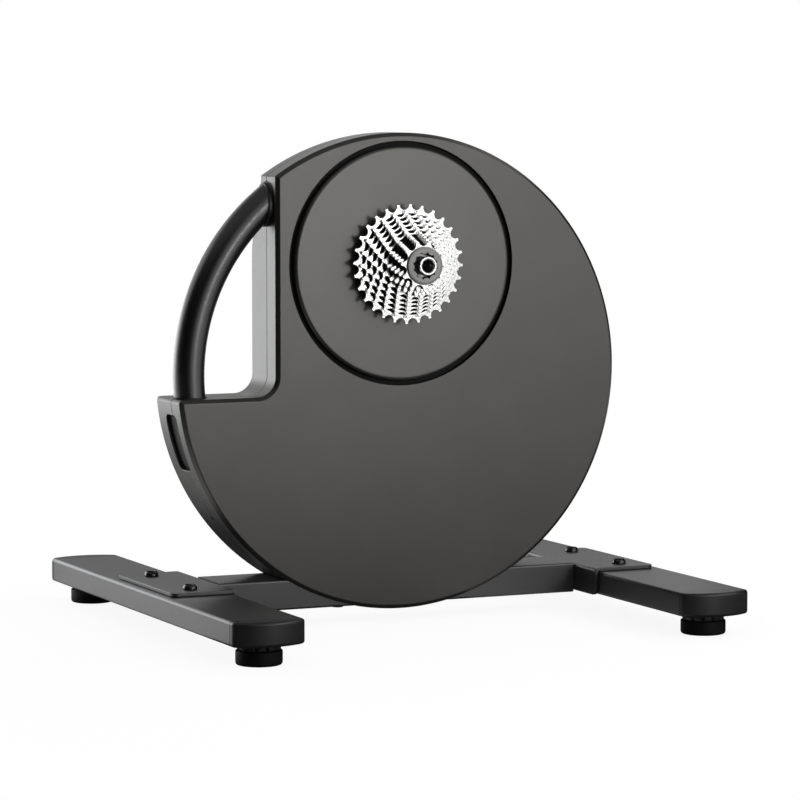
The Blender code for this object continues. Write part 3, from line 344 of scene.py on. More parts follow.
wheel_notches = 12
wheel_points = 240
notch_depth = 0.0022
notch_share = 0.44
wheel_edge = 0.0005
wheel_bore = 0.0055
pad_clearance = 0.0003
pad_points = 48
stud_radius = 0.0050
stud_pitch = 0.0015
stud_thread = 0.0004
wheel_plastic = grained("foot_wheel_nylon", (0.014, 0.014, 0.015), 0.34, 0.0009, 0.00003, specular=0.7)
pad_rubber = grained("foot_pad_rubber", (0.007, 0.007, 0.007), 0.62, 0.0007, 0.00005, specular=0.2)


def full_turn(points):
    """Angles of so many points, evenly round a circle from 0."""
    return np.linspace(0, 2 * np.pi, points, endpoint=False)


def thread(heights, pitch, depth, turn):
    """Depth of a thread, a triangle wave wound round its axis: depth (1 - |2w - 1|), where w is
    what height / pitch - turn / full turn has past a whole number."""
    wave = (heights[:, None] / pitch - turn / (2 * np.pi)) % 1
    return depth * (1 - np.abs(2 * wave - 1))


for label in ("left_front", "left_rear", "right_front", "right_rear"):
    # A notch is a cosine, from its full depth at the middle to none at its share of the step.
    low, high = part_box("foot_wheel_" + label)
    middle = (low + high) / 2
    notch = full_turn(wheel_points) * wheel_notches / (2 * np.pi)
    from_notch = np.abs((notch + 0.5) % 1 - 0.5) / (notch_share / 2)
    scallop = notch_depth * (0.5 + 0.5 * np.cos(np.pi * np.minimum(from_notch, 1)))
    edge = rounded_edge(wheel_edge, 3)
    side = (high.y - low.y) / 2 - scallop - edge[:, :1]
    levels = low.z + edge[:, 1]
    radii = np.vstack([side, side[::-1], np.full((2, wheel_points), wheel_bore)])
    heights = np.concatenate([levels, low.z + high.z - levels[::-1], [high.z, low.z]])
    wheel = skin("thumb_wheel_" + label,
                 turned(radii, heights, (middle.x, middle.y, 0), segments=wheel_points), looped=True)
    fit(wheel, wheel_plastic, "black_plastic", "foot_wheel_" + label, "foot_wheel_" + label)

    # The pad's (radius, height) rows: a recess below, the rounded side, the top and the stud's root.
    pad_top = low.z - pad_clearance
    low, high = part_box("foot_pad_" + label)
    radius = (high.x - low.x) / 2
    body = [(0.0140, 0.0009), (0.0146, 0.0003), (0.0152, 0.0), (radius - 0.0022, 0.0),
            (radius - 0.0013, 0.0003), (radius - 0.0005, 0.0010), (radius - 0.0001, 0.0019),
            (radius, 0.0028), (radius, pad_top - 0.0012), (radius - 0.0002, pad_top - 0.0004),
            (radius - 0.0008, pad_top), (0.0072, pad_top), (0.0066, pad_top),
            (stud_radius, pad_top + 0.0004)]
    tip = [(stud_radius - 0.0006, high.z - 0.0004), (stud_radius - 0.0014, high.z)]
    screw_z = np.arange(pad_top + 0.0006, high.z - 0.0009, stud_pitch / 6)
    screw = stud_radius - thread(screw_z, stud_pitch, stud_thread, full_turn(pad_points))
    radii = np.vstack([[[r] * pad_points for r, _ in body], screw, [[r] * pad_points for r, _ in tip]])
    levels = np.concatenate([[z for _, z in body], screw_z, [z for _, z in tip]])
    pad = skin("foot_pad_shape_" + label,
               turned(radii, levels, (middle.x, middle.y, 0), segments=pad_points))
    fit(pad, pad_rubber, "rubber", "foot_pad_" + label, "foot_pad_" + label)


# Crossbar. A rectangular steel tube, 60 by 30 mm, powder coated with the legs. It runs through the
# housing from bracket to bracket, and two bolts from below hold the cast frame on it.

crossbar_wall = 0.0035
crossbar_edge = 0.0022
crossbar_inner_edge = 0.001
frame_bolt_offset = 0.056
low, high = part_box("crossbar")
middle = (low + high) / 2
_, width, height = high - low
outside = rectangle(width, height, crossbar_edge)
inside = rectangle(width - 2 * crossbar_wall, height - 2 * crossbar_wall, crossbar_inner_edge)
rings = [np.insert(outline, 0, x, 1) for outline, x in
         ((outside, low.x), (outside, high.x), (inside, high.x), (inside, low.x))]
crossbar = skin("crossbar_tube", np.stack(rings) + np.array([0, middle.y, middle.z]), looped=True)
for x in (-frame_bolt_offset, frame_bolt_offset):
    carve(crossbar, drill(bolt_hole_radius, low.z - cut_margin, high.z + cut_margin, (x, 0, 0)))
fit(even_shading(crossbar), leg_coat, "leg_paint", "frame", "crossbar")


# Brackets. Folded 3.5 mm steel plate, welded to the crossbar's ends and bolted down on the legs:
# a web beside the leg, a bend, and a top plate with rounded corners.

plate_thickness = 0.0035
plate_corner = 0.007
plate_edge = 0.0005
plate_edge_share = 0.9
bend_inside = 0.0006
bracket_coat = grained("bracket_powder_coat", (0.106, 0.105, 0.106), 0.39, 0.0011, 0.00004,
                       metallic=0.85, specular=0.4)


def rounded_off(distance, corner):
    """What a corner takes off at a distance from the end: corner - sqrt(corner^2 - (corner -
    distance)^2), and nothing further on."""
    return corner - np.sqrt(corner ** 2 - np.maximum(corner - distance, 0) ** 2)


for side, sign in (("left", -1), ("right", 1)):
    # The plate's middle line runs up the web, round a quarter circle, and out over the leg. At each
    # place along it stands a section, narrower and thinner where the ends round off.
    low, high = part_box("bracket_" + side)
    inner = high.x if sign < 0 else low.x
    bend = bend_inside + plate_thickness / 2
    web = high.z - plate_thickness / 2 - bend - low.z
    curve = bend * math.pi / 2
    total = web + curve + (high.x - low.x) - plate_thickness / 2 - bend
    round_off = plate_corner * (1 - np.cos(np.radians(np.linspace(0, 90, 18))))
    along = np.concatenate([round_off, web + curve * np.linspace(0, 1, 11), total - round_off[::-1]])
    turn = np.clip((along - web) / bend, 0, math.pi / 2)
    out = plate_thickness / 2 + bend * (1 - np.cos(turn)) + np.maximum(along - web - curve, 0)
    z = low.z + np.minimum(along, web) + bend * np.sin(turn)
    from_end = np.minimum(along, total - along)
    reach = (high.y - low.y) / 2 - rounded_off(from_end, plate_corner)
    thin = rounded_off(from_end, plate_edge)
    sections = [rectangle(2 * (r - t), plate_thickness - 2 * t, plate_edge - t * plate_edge_share, 3)
                for r, t in zip(reach, thin)]
    across = np.stack([-sign * np.cos(turn), np.zeros_like(turn), np.sin(turn)], -1)
    rings = [np.array([px, 0, pz]) + section[:, :1] * np.array([0, 1, 0]) + section[:, 1:] * normal
             for px, pz, section, normal in zip(inner + sign * out, z, sections, across)]
    bracket = skin("bracket_plate_" + side, np.stack(rings))
    leg_x = sum(v.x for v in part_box("leg_" + side)) / 2
    for end in (-1, 1):
        carve(bracket, drill(bolt_hole_radius, high.z - cut_margin, high.z + cut_margin,
                             (leg_x, end * bolt_spacing / 2, 0)))
    fit(even_shading(bracket), bracket_coat, "leg_paint", "frame", "bracket_" + side)


# Bolts. Black oxide button-head socket screws, four down through the brackets into the legs and
# two up through the crossbar into the cast frame.

bolt_radius = 0.004
bolt_pitch = 0.00125
bolt_thread = 0.0004
bolt_plain = 0.0035
bolt_points = 72
head_height = 0.0042
head_dome = 40
socket_half = 0.0025
socket_depth = 0.0022
black_oxide = grained("black_oxide_steel", (0.060, 0.060, 0.062), 0.12, 0.002, 0.00001, metallic=0.7)


def hexagon(half, turn):
    """Radius of a hexagon at each turn: half its width / cos(angle to the nearest flat)."""
    return half / np.cos((turn + np.pi / 6) % (np.pi / 3) - np.pi / 6)


def button_bolt(name, node, direction):
    """Screw whose tip is below its head, or above it: a threaded shank, plain under the head, a
    dome r = R cos t, h = H sin t / sin 40, and a hexagon socket."""
    low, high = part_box(node)
    middle = (low + high) / 2
    radius = (high.y - low.y) / 2
    length = high.z - low.z - head_height
    top = length + head_height
    turn, even = full_turn(bolt_points), np.ones(bolt_points)
    shank = np.arange(0.0006, length - 0.0006, 0.0002)
    grooves = thread(shank, bolt_pitch, bolt_thread, turn) * (shank < length - bolt_plain)[:, None]
    dome = np.radians(np.linspace(0, head_dome, 11))
    rise = head_height * np.sin(dome) / math.sin(math.radians(head_dome))
    socket = hexagon(socket_half, turn)
    radii = np.vstack([even * (bolt_radius - 0.0008), bolt_radius - grooves, even * bolt_radius,
                       even * (radius - 0.0003), np.outer(radius * np.cos(dome), even),
                       socket + 0.0005, socket, socket, socket * 0.4])
    heights = np.concatenate([[0], shank, [length, length], length + 0.0002 + rise * 0.95,
                              [top, top - 0.0004, top - socket_depth, top - socket_depth - 0.0005]])
    tip = low.z if direction > 0 else high.z
    return skin(name, turned(radii, tip + direction * heights, (middle.x, middle.y, 0),
                             segments=bolt_points))


for label in ("left_front", "left_rear", "right_front", "right_rear"):
    bolt = button_bolt("button_screw_" + label, "bracket_bolt_" + label, 1)
    fit(bolt, black_oxide, "black_steel", "frame", "bracket_bolt_" + label)
for side in ("left", "right"):
    bolt = button_bolt("frame_screw_" + side, "frame_bolt_" + side, -1)
    fit(bolt, black_oxide, "black_steel", "frame", "frame_bolt_" + side)


# Inside the housing: cast aluminium frame and belt pulley, steel shaft and bearings, iron flywheel,
# laminated brake core with enamelled coils, ribbed belt, sprung idler, and a green control board.

def turned_metal(name, colour, roughness, centre, pitch=0.0004, depth=0.00001):
    """Lathe-cut metal: rings round the Y axis through the centre, 2 pi times the pitch apart, lift
    the surface and vary its roughness, and slow noise varies the colour."""
    material, tree = new_finish(name, 1.0, 0.5)
    place = add_node(tree, "Mapping", {"Location": [-c for c in centre], "Vector": own_place(tree)})
    rings = add_node(tree, "TexWave", {"Scale": 0.05 / pitch, "Distortion": 2.0, "Detail": 3.0,
                                       "Vector": place}, "Fac", wave_type="RINGS", rings_direction="Y")
    surface(tree, two_tone(tree, noise(tree, 0.02), colour, 0.05),
            spread(tree, rings, roughness * 0.85, roughness * 1.15), rings, depth)
    return material


def banded(name, colour, roughness, pitch, depth, metallic=0.0, direction="X"):
    """Wound or ribbed finish: bands of the given pitch stand up from the surface."""
    material, tree = new_finish(name, metallic, 0.5)
    bands = add_node(tree, "TexWave", {"Scale": 0.314 / pitch, "Vector": own_place(tree)}, "Fac",
                     bands_direction=direction)
    surface(tree, two_tone(tree, bands, colour, 0.25),
            spread(tree, noise(tree, 0.002), roughness * 0.9, roughness * 1.1), bands, depth)
    return material


def circuit_board(name):
    """Green solder mask, with raised copper tracks along the edges of square cells."""
    material, tree = new_finish(name, 0.0, 0.5)
    place = add_node(tree, "Mapping", {"Rotation": (math.pi / 2, 0, 0), "Vector": own_place(tree)})
    cells = add_node(tree, "TexBrick", {"Scale": 60, "Mortar Size": 0.03, "Vector": place,
                                        "Color1": (0.012, 0.13, 0.05, 1), "Color2": (0.016, 0.16, 0.07, 1),
                                        "Mortar": (0.05, 0.30, 0.12, 1)}, "Color")
    surface(tree, cells, spread(tree, noise(tree, 0.004), 0.3, 0.5), cells.node.outputs["Fac"], 0.00004)
    return material


hub, flywheel_centre, idler_centre = [sum(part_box(node), Vector()) / 2
                                      for node in ("hub_cover", "flywheel", "idler_pulley")]
inner_finish = {
    "spine": grained("sand_cast_aluminium", (0.45, 0.46, 0.47), 0.50, 0.0016, 0.00012, metallic=0.9),
    "drive_pulley": turned_metal("turned_cast_aluminium", (0.46, 0.47, 0.48), 0.38, hub),
    "pulley_bearing": turned_metal("bearing_steel", (0.50, 0.50, 0.49), 0.28, hub),
    "belt": banded("ribbed_belt_rubber", (0.014, 0.014, 0.014), 0.60, 0.0024, 0.0004, direction="Y"),
    "flywheel": turned_metal("turned_cast_iron", (0.07, 0.07, 0.075), 0.42, flywheel_centre, pitch=0.0008),
    "flywheel_shaft": turned_metal("ground_shaft_steel", (0.45, 0.45, 0.44), 0.25, flywheel_centre),
    "flywheel_bearing": turned_metal("shaft_bearing_steel", (0.50, 0.50, 0.49), 0.28, flywheel_centre),
    "brake_core": banded("laminated_iron", (0.07, 0.07, 0.072), 0.45, 0.0006, 0.0001, 0.9, "Y"),
    "idler_arm": black_oxide,
    "idler_pulley": turned_metal("idler_steel", (0.44, 0.44, 0.43), 0.30, idler_centre),
    "control_board": circuit_board("solder_mask"),
    "speed_sensor": grained("sensor_plastic", (0.016, 0.016, 0.016), 0.45, 0.001, 0.00003),
}
coil_wire = banded("enamelled_copper_wire", (0.55, 0.24, 0.11), 0.30, 0.0007, 0.0002, 0.9, "DIAGONAL")
inner_finish.update({"brake_coil_%d" % number: coil_wire for number in range(1, 5)})
for node, material in inner_finish.items():
    for material_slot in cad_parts[node].material_slots:
        material_slot.material = material


# Housing. Two dished shells, die-cast and painted a warm dark grey, meet 25.5 mm behind the flat
# drive-side face. The rear one slopes forward above the axle. Screws from behind join them.

housing_radius = 0.237
housing_depth = 0.067
face_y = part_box("front_shell")[0].y
centre_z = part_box("front_shell")[0].z + housing_radius
parting = 0.0255
parting_gap = 0.0003
parting_edge = 0.0004
shell_wall = 0.003
face_border = 0.0008
front_bevel = 0.0036
front_bevel_round = 0.0007
rear_fillet = 0.0034
notch_face = -0.1345
shelf = -0.0206
notch_corner = 0.020
top_corner = 0.002
shelf_corner = 0.004
least_corner = 0.0004
corner_overlap = 8
upper_depth = 0.042
taper_start = 0.126
taper_end = 0.188
taper_knee = 0.010
shell_paint = grained("shell_paint", (0.107, 0.1045, 0.101), 0.38, 0.0010, 0.00003, change=0.03,
                      metallic=0.85, specular=0.3)


def housing_outline(inset):
    """Round housing with its handle notch, drawn inwards by an inset: rim arc, top corner arc,
    hollow arc in the notch and shelf corner arc, each tangent to the next side."""
    radius, face, ledge = housing_radius - inset, notch_face + inset, shelf - inset
    upper, lower = max(top_corner - inset, least_corner), max(shelf_corner - inset, least_corner)
    upper_x = face + upper
    upper_z = math.sqrt((radius - upper) ** 2 - upper_x ** 2)
    lower_z = ledge - lower
    lower_x = -math.sqrt((radius - lower) ** 2 - lower_z ** 2)
    rim_start = math.degrees(math.atan2(lower_z, lower_x)) % 360
    rim_end = math.degrees(math.atan2(upper_z, upper_x)) + 360
    hollow = (notch_face - notch_corner, shelf + notch_corner)
    return np.concatenate([arc((0, 0), radius, rim_start, rim_end, 260),
                           arc((upper_x, upper_z), upper, rim_end - 360 + corner_overlap, 180, 6),
                           arc(hollow, notch_corner + inset, 0, -90, 20),
                           arc((lower_x, lower_z), lower, 90, rim_start - corner_overlap, 7)])


def dished(name, rows):
    """Shell from (inset, depth) rows, from the middle of its outer face round the rim to the
    middle of its inner face."""
    outlines = [housing_outline(inset) for inset, _ in rows]
    return skin(name, along_y(outlines, [face_y + depth for _, depth in rows], (0, centre_z)))


def bevelled_edge(cut, rounding):
    """Rows (inset, depth) of an edge cut off at 45 degrees. Each of the cut's two corners C is the
    curve (1-s)^2 A + 2s(1-s) C + s^2 B, from one rounding before it to one after it."""
    s = np.linspace(0, 1, 5)[:, None]
    slant = rounding * math.sqrt(0.5)
    first = (1 - s) ** 2 * (cut + rounding, 0) + 2 * s * (1 - s) * (cut, 0) + s ** 2 * (cut - slant, slant)
    return np.concatenate([first, first[::-1, ::-1]])


def taper(height):
    """Share of the slope at a height above the disc's centre: a ramp between its start and its
    end, whose knees are parabolas (t + k)^2 / 4k."""
    def ramp(t):
        bend = np.clip(t + taper_knee, 0, 2 * taper_knee) ** 2 / (4 * taper_knee)
        return np.where(t > taper_knee, t, bend)
    return (ramp(height - taper_start) - ramp(height - taper_end)) / (taper_end - taper_start)


window_gap = 0.0012
window_corner = 0.0024
window_reach = 0.24
handle_arc = 0.2172
handle_radius = 0.0155
handle_upper_end = 124.4
handle_lower_end = 187.33
handle_overrun = 0.8
handle_points = 56


def crossbar_window():
    """Bar a little larger than the crossbar, one rounded rectangle carried straight along X: it
    carves the crossbar's way through a shell."""
    low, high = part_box("crossbar")
    outline = rectangle(high.y - low.y + window_gap, high.z - low.z + window_gap, window_corner, 4)
    rings = [np.insert(outline, 0, x, 1) for x in (-window_reach, window_reach)]
    return skin("window", np.stack(rings) + np.array([0, (low.y + high.y) / 2, (low.z + high.z) / 2]))


def handle_rings(radius, start, end, steps):
    """Rings of the bent tube: at each angle t on the arc, a circle in the plane of the arc's centre
    and the depth, so X and Z = (arc radius + r cos a) (cos t, sin t) and Y = middle + r sin a."""
    angle = np.radians(np.linspace(start, end, steps + 1))[:, None]
    around = full_turn(handle_points)[None]
    out = handle_arc + radius * np.cos(around)
    depth = face_y + parting + radius * np.sin(around) * np.ones_like(angle)
    return np.stack([out * np.cos(angle), depth, centre_z + out * np.sin(angle)], -1)


def handle_hole(margin):
    """The handle's own arc, thicker by a margin and longer at both ends: it carves a hole for it."""
    return skin("handle_hole", handle_rings(handle_radius + margin, handle_upper_end - handle_overrun,
                                            handle_lower_end + handle_overrun, 60))


vent_angle = 195.9
vent_length = 0.0575
vent_from = 0.0165
vent_to = 0.0445
vent_corner = 0.006
vent_flare = 0.0005
vent_cut_depth = 0.008
cutter_rise = 0.003


def round_the_rim(flat, radius, drawn_at):
    """Flat points bent round the disc at the vent. Their length over the radius that they are
    drawn at is an angle, and their height is a depth."""
    angle = math.radians(vent_angle) + flat[:, 0] / drawn_at
    depth = face_y + (vent_from + vent_to) / 2 + flat[:, 1]
    return np.column_stack([radius * np.cos(angle), depth, centre_z + radius * np.sin(angle)])


def vent_slot():
    """Slot through the rim, which flares as a rounded edge when it comes to the surface."""
    edge = rounded_edge(vent_flare, 5)[::-1]
    radii = housing_radius + np.concatenate([[-vent_cut_depth], -edge[:, 1], [cutter_rise]])
    flares = np.concatenate([[0.0], edge[:, 0], [vent_flare]])
    outlines = [rectangle(vent_length + 2 * flare, vent_to - vent_from + 2 * flare, vent_corner + flare)
                for flare in flares]
    return skin("vent_slot", np.stack([round_the_rim(outline, radius, housing_radius)
                                       for outline, radius in zip(outlines, radii)]))


def paint_shade_on(piece, material, chosen):
    """Gives a second finish, here always painted shade, to the faces chosen by the distance of their
    middle from the hub's axis, its depth behind the housing's face, and the Y part of their direction."""
    faces = piece.data.polygons
    middle, facing = np.empty(3 * len(faces)), np.empty(3 * len(faces))
    faces.foreach_get("center", middle)
    faces.foreach_get("normal", facing)
    middle, facing = middle.reshape(-1, 3), facing.reshape(-1, 3)
    distance = np.hypot(middle[:, 0] - hub.x, middle[:, 2] - hub.z)
    picked = chosen(distance, middle[:, 1] - face_y, facing[:, 1])
    piece.data.materials.append(material)
    faces.foreach_set("material_index", picked.astype(np.int32))


cover_hole = 0.121
cover_hole_edge = 0.0005
cover_ledge = 0.014
cover_ledge_depth = 0.005
seam = 0.0003
hub_axis = (hub.x, 0, hub.z)
rearward = (0, 1, 0)


def round_the_hub(name, radii, places, segments, looped=False):
    """Surface turned about the hub's axis, from a radius and a place along Y for each ring."""
    return skin(name, turned(radii, places, hub_axis, rearward, segments), looped)


front_edge = parting - parting_gap / 2
front_shell = dished("shell_drive_side", [(front_bevel + front_bevel_round + face_border, 0.0),
                                          *bevelled_edge(front_bevel, front_bevel_round),
                                          (0.0, front_edge - parting_edge), (parting_edge, front_edge),
                                          (shell_wall, front_edge), (shell_wall, shell_wall)])
carve(front_shell, crossbar_window(), handle_hole(0.0004), vent_slot())
carve(front_shell, drill(cover_hole + shell_wall, face_y + shell_wall / 2,
                         face_y + cover_ledge_depth + shell_wall, hub_axis, rearward, 120), action="UNION")
edge = rounded_edge(cover_hole_edge, 5)
seat_radius = cover_hole + np.concatenate([[cover_hole_edge], edge[:, 0], [0, -cover_ledge, -cover_ledge]])
seat_depth = np.concatenate([[-cutter_rise], edge[:, 1],
                             [cover_ledge_depth, cover_ledge_depth, cover_ledge_depth + 2 * shell_wall]])
carve(front_shell, round_the_hub("cover_seat", seat_radius, face_y + seat_depth, 200))
fit(even_shading(front_shell), shell_paint, "shell_paint", "frame", "front_shell")
# The seat's wall and ledge round the hub cover are painted near black: painted shade in the deep groove.
groove_painted_shade = grained("painted_shade_in_groove", (0.006, 0.006, 0.006), 0.6, 0.0012, 0.00003, specular=0.2)
paint_shade_on(front_shell, groove_painted_shade, lambda distance, depth, facing:
              (distance < cover_hole + seam) & (depth > cover_hole_edge)
              & (depth < cover_ledge_depth + seam) & (facing < 0.5))

rear_edge = parting + parting_gap / 2
rear_shell = dished("shell_rear", [(rear_fillet + face_border, housing_depth),
                                   *(rounded_edge(rear_fillet, 8) * (1, -1) + (0, housing_depth)),
                                   (0.0, rear_edge + parting_edge), (parting_edge, rear_edge),
                                   (shell_wall, rear_edge), (shell_wall, housing_depth - shell_wall)])
shape = bmesh.new()
shape.from_mesh(rear_shell.data)
for level in np.linspace(taper_start - taper_knee, taper_end + taper_knee, 26):
    whole = list(shape.verts) + list(shape.edges) + list(shape.faces)
    bmesh.ops.bisect_plane(shape, geom=whole, dist=1e-7, plane_co=(0, 0, centre_z + level),
                           plane_no=(0, 0, 1))
shape.to_mesh(rear_shell.data)
shape.free()
points = np.empty(len(rear_shell.data.vertices) * 3)
rear_shell.data.vertices.foreach_get("co", points)
points = points.reshape(-1, 3)
back = points[:, 1] > face_y + upper_depth - 2 * shell_wall
points[:, 1] -= np.where(back, (housing_depth - upper_depth) * taper(points[:, 2] - centre_z), 0)
rear_shell.data.vertices.foreach_set("co", points.ravel())
carve(rear_shell, crossbar_window(), handle_hole(0.0004), vent_slot())

hole_depth = 0.006
light_angle = math.radians(216.3)
light_axis = (math.cos(light_angle), 0, math.sin(light_angle))
light_y = sum(v.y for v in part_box("status_light")) / 2
light_hole = 0.0021
inlet_low, inlet_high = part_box("power_inlet")
inlet_axis = ((inlet_low.x + inlet_high.x) / 2, 0, (inlet_low.z + inlet_high.z) / 2)
inlet_hole = 0.0068
boss_radius = 0.0155
boss_fillet = 0.005
boss_bore = 0.0088
back_y = face_y + housing_depth
carve(rear_shell, drill(light_hole, housing_radius - hole_depth, housing_radius + cutter_rise,
                        (0, light_y, centre_z), light_axis),
      drill(inlet_hole, back_y - hole_depth, back_y + cutter_rise, inlet_axis, rearward, 48))
boss_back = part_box("rear_shell")[1].y
edge = rounded_edge(boss_fillet, 6)
boss_radii = boss_radius + np.concatenate([[0.008], edge[:, 0], [0, -0.0003, -0.0008]])
boss_y = np.concatenate([[back_y - shell_wall / 2], back_y - 0.0002 + edge[:, 1],
                         boss_back - np.array([0.0008, 0.0002, 0])])
carve(rear_shell, round_the_hub("boss", boss_radii, boss_y, 96), action="UNION")
carve(rear_shell, drill(boss_bore, back_y - hole_depth, boss_back + cutter_rise, hub_axis, rearward, 64))

screw_circle = 0.2225
screw_hole = 0.0040
screw_recess = 0.0020
screw_socket = 0.00125
screw_points = 48
screw_steel = grained("zinc_black_screw", (0.045, 0.045, 0.047), 0.28, 0.0015, 0.00001, metallic=0.8)
turns = np.radians([72, 104, 25, -12, -46, 226, 251, 289])
screw_places = [*(screw_circle * np.column_stack([np.cos(turns), np.sin(turns)])),
                (-0.196, -0.046), (-0.118, 0.028)]
socket = hexagon(screw_socket, full_turn(screw_points))
screw_radii = np.vstack([[[r] * screw_points for r in (0.0033, 0.0036, 0.0036, 0.0033, 0.0024)],
                         socket, socket, socket * 0.4])
screw_levels = np.array([0, 0.0002, 0.0012, 0.0016, 0.0018, 0.0018, 0.0008, 0.0006])
screws = []
for x, height in screw_places:
    y = back_y - (housing_depth - upper_depth) * float(taper(height))
    axis = (x, 0, centre_z + height)
    carve(rear_shell, drill(screw_hole, y - screw_recess, y + cutter_rise, axis, rearward, 36))
    screws.append(turned(screw_radii, y - screw_recess + screw_levels, axis, rearward, screw_points))
fit(even_shading(rear_shell), shell_paint, "shell_paint", "frame", "rear_shell")
for number, rings in enumerate(screws):
    fit(skin("shell_screw_%d" % (number + 1), rings), screw_steel, "black_steel", "frame")


# Handle. A bent steel tube under a soft satin black coat. It carries on the housing's circle
# across the notch, and goes in through a collar at the top and a thin gasket on the shelf.

handle_wall = 0.0022
handle_clearance = 0.00015
handle_coat = grained("handle_satin_coat", (0.006, 0.006, 0.006), 0.33, 0.0012, 0.00002, specular=1.0)
handle_coat.node_tree.nodes["Principled BSDF"].inputs["IOR"].default_value = 1.6
tube = handle_rings(handle_radius, handle_upper_end, handle_lower_end, 120)
bore = handle_rings(handle_radius - handle_wall, handle_lower_end, handle_upper_end, 60)
handle = skin("handle_tube", np.concatenate([tube, bore]), looped=True)
fit(handle, handle_coat, "satin_black", "frame", "handle")

collar_inset = 0.0020
collar_edge = 0.0009
collar_lip = 0.0004
collar_plastic = grained("collar_nylon", (0.018, 0.018, 0.018), 0.40, 0.0010, 0.00003)
low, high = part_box("handle_collar")
middle = (low + high) / 2
_, half_y, half_z = (high - low) / 2
turn = full_turn(96)
edge = rounded_edge(collar_edge, 5)[::-1]
insets = collar_inset + np.concatenate([[collar_lip, 0.0], edge[:, 0], [collar_edge + 0.0008]])
places = np.concatenate([[high.x, high.x - collar_lip], low.x + edge[:, 1], [low.x]])
rings = [np.column_stack([np.full(len(turn), x), middle.y + (half_y - inset) * np.cos(turn),
                          middle.z + (half_z - inset) * np.sin(turn)]) for x, inset in zip(places, insets)]
collar = skin("handle_collar_ring", np.stack(rings))
carve(collar, handle_hole(handle_clearance))
fit(collar, collar_plastic, "black_plastic", "frame", "handle_collar")

gasket_rubber = grained("gasket_rubber", (0.013, 0.013, 0.013), 0.55, 0.0006, 0.00003)
low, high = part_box("handle_gasket")
middle = (low + high) / 2
radii = (high.y - low.y) / 2 - np.array([0, 0, 0.0002, 0.0006])
heights = [low.z, high.z - 0.0005, high.z - 0.0001, high.z]
gasket = skin("handle_gasket_ring", turned(radii, heights, (middle.x, middle.y, 0), segments=96))
carve(gasket, handle_hole(handle_clearance))
fit(gasket, gasket_rubber, "rubber", "frame", "handle_gasket")


# Vent, status light and power inlet. An expanded-metal panel curved behind the slot in the rim, a
# small domed lens below it, and a moulded socket with a centre pin low on the rear.

mesh_pitch = 0.0032
mesh_bar = 0.0009
mesh_thickness = 0.0012
mesh_margin = 0.0025
mesh_radius = housing_radius - shell_wall - 0.0006
# Diamonds stand in rows at half a pitch. Each has four bars between its corners and its hole's.
half_pitch = mesh_pitch / 2
cells = np.array([(i + j, i - j) for i in range(-16, 17) for j in range(-16, 17)], float) * half_pitch
keep = ((np.abs(cells[:, 0]) < vent_length / 2 + mesh_margin - half_pitch)
        & (np.abs(cells[:, 1]) < (vent_to - vent_from) / 2 + mesh_margin - half_pitch))
corners = np.array([(1, 0), (0, 1), (-1, 0), (0, -1)], float)
outer = cells[keep][:, None] + corners * half_pitch
hole = cells[keep][:, None] + corners * (half_pitch - mesh_bar * 0.7071)
curved = round_the_rim(np.concatenate([outer, hole], 1).reshape(-1, 2), mesh_radius, mesh_radius)
start = np.arange(keep.sum())[:, None, None] * 8
quad = np.array([(k, (k + 1) % 4, (k + 1) % 4 + 4, k + 4) for k in range(4)])
panel = settle(mesh_object("vent_panel", curved, (start + quad).reshape(-1, 4).tolist()))
outward = Vector(curved[0]) - Vector((0, 0, centre_z))
thick = panel.modifiers.new("thickness", "SOLIDIFY")
thick.thickness = mesh_thickness
thick.offset = -1 if panel.data.polygons[0].normal.dot(outward) > 0 else 1
fit(panel, grained("vent_black_steel", (0.014, 0.014, 0.015), 0.45, 0.001, 0.00002, metallic=0.3),
    "black_plastic", "frame", "vent_grille")

lens_radius = 0.0018
lens_rise = 0.0007
lens_sunk = 0.0006
dome = np.radians(np.linspace(0, 80, 8))
radii = np.concatenate([[lens_radius - 0.0006, lens_radius], lens_radius * np.cos(dome)])
along = np.concatenate([housing_radius - shell_wall - np.array([0.004, 0.0034]),
                        housing_radius - lens_sunk - lens_rise * (1 - np.sin(dome))])
lens = skin("status_lens", turned(radii, along, (0, light_y, centre_z), light_axis, 36))
frosted, tree = new_finish("frosted_lens", 0.0, 0.5)
surface(tree, two_tone(tree, noise(tree, 0.001), (0.70, 0.73, 0.75), 0.06),
        spread(tree, noise(tree, 0.0005), 0.18, 0.3))
fit(lens, frosted, "light_lens", "frame", "status_light")

# The inlet's (radius, depth) rows: sleeve, flange, then the well in it and the pin in the well.
inlet_radius = 0.0065
well_radius = 0.0033
pin_radius = 0.0010
flange = (inlet_high.x - inlet_low.x) / 2
front, back = inlet_low.y, inlet_high.y
profile = np.array([(inlet_radius - 0.0005, front), (inlet_radius, front + 0.0005),
                    (inlet_radius, back - 0.0012), (flange, back - 0.0012), (flange, back - 0.0004),
                    (flange - 0.0001, back - 0.0001), (flange - 0.0004, back),
                    (well_radius + 0.0007, back), (well_radius + 0.0003, back - 0.0001),
                    (well_radius, back - 0.0005), (well_radius, front + 0.003),
                    (pin_radius, front + 0.003), (pin_radius, back - 0.0022),
                    (pin_radius - 0.0004, back - 0.0018)])
socket = skin("inlet_socket", turned(profile[:, 0], profile[:, 1], inlet_axis, rearward, 48))
fit(socket, collar_plastic, "black_plastic", "frame", "power_inlet")


# Hub cover. A round lid, painted like the shells and a touch lighter. It stands on the front shell's
# ledge, proud of the face and with a groove round it, and closes the drive pulley's opening.

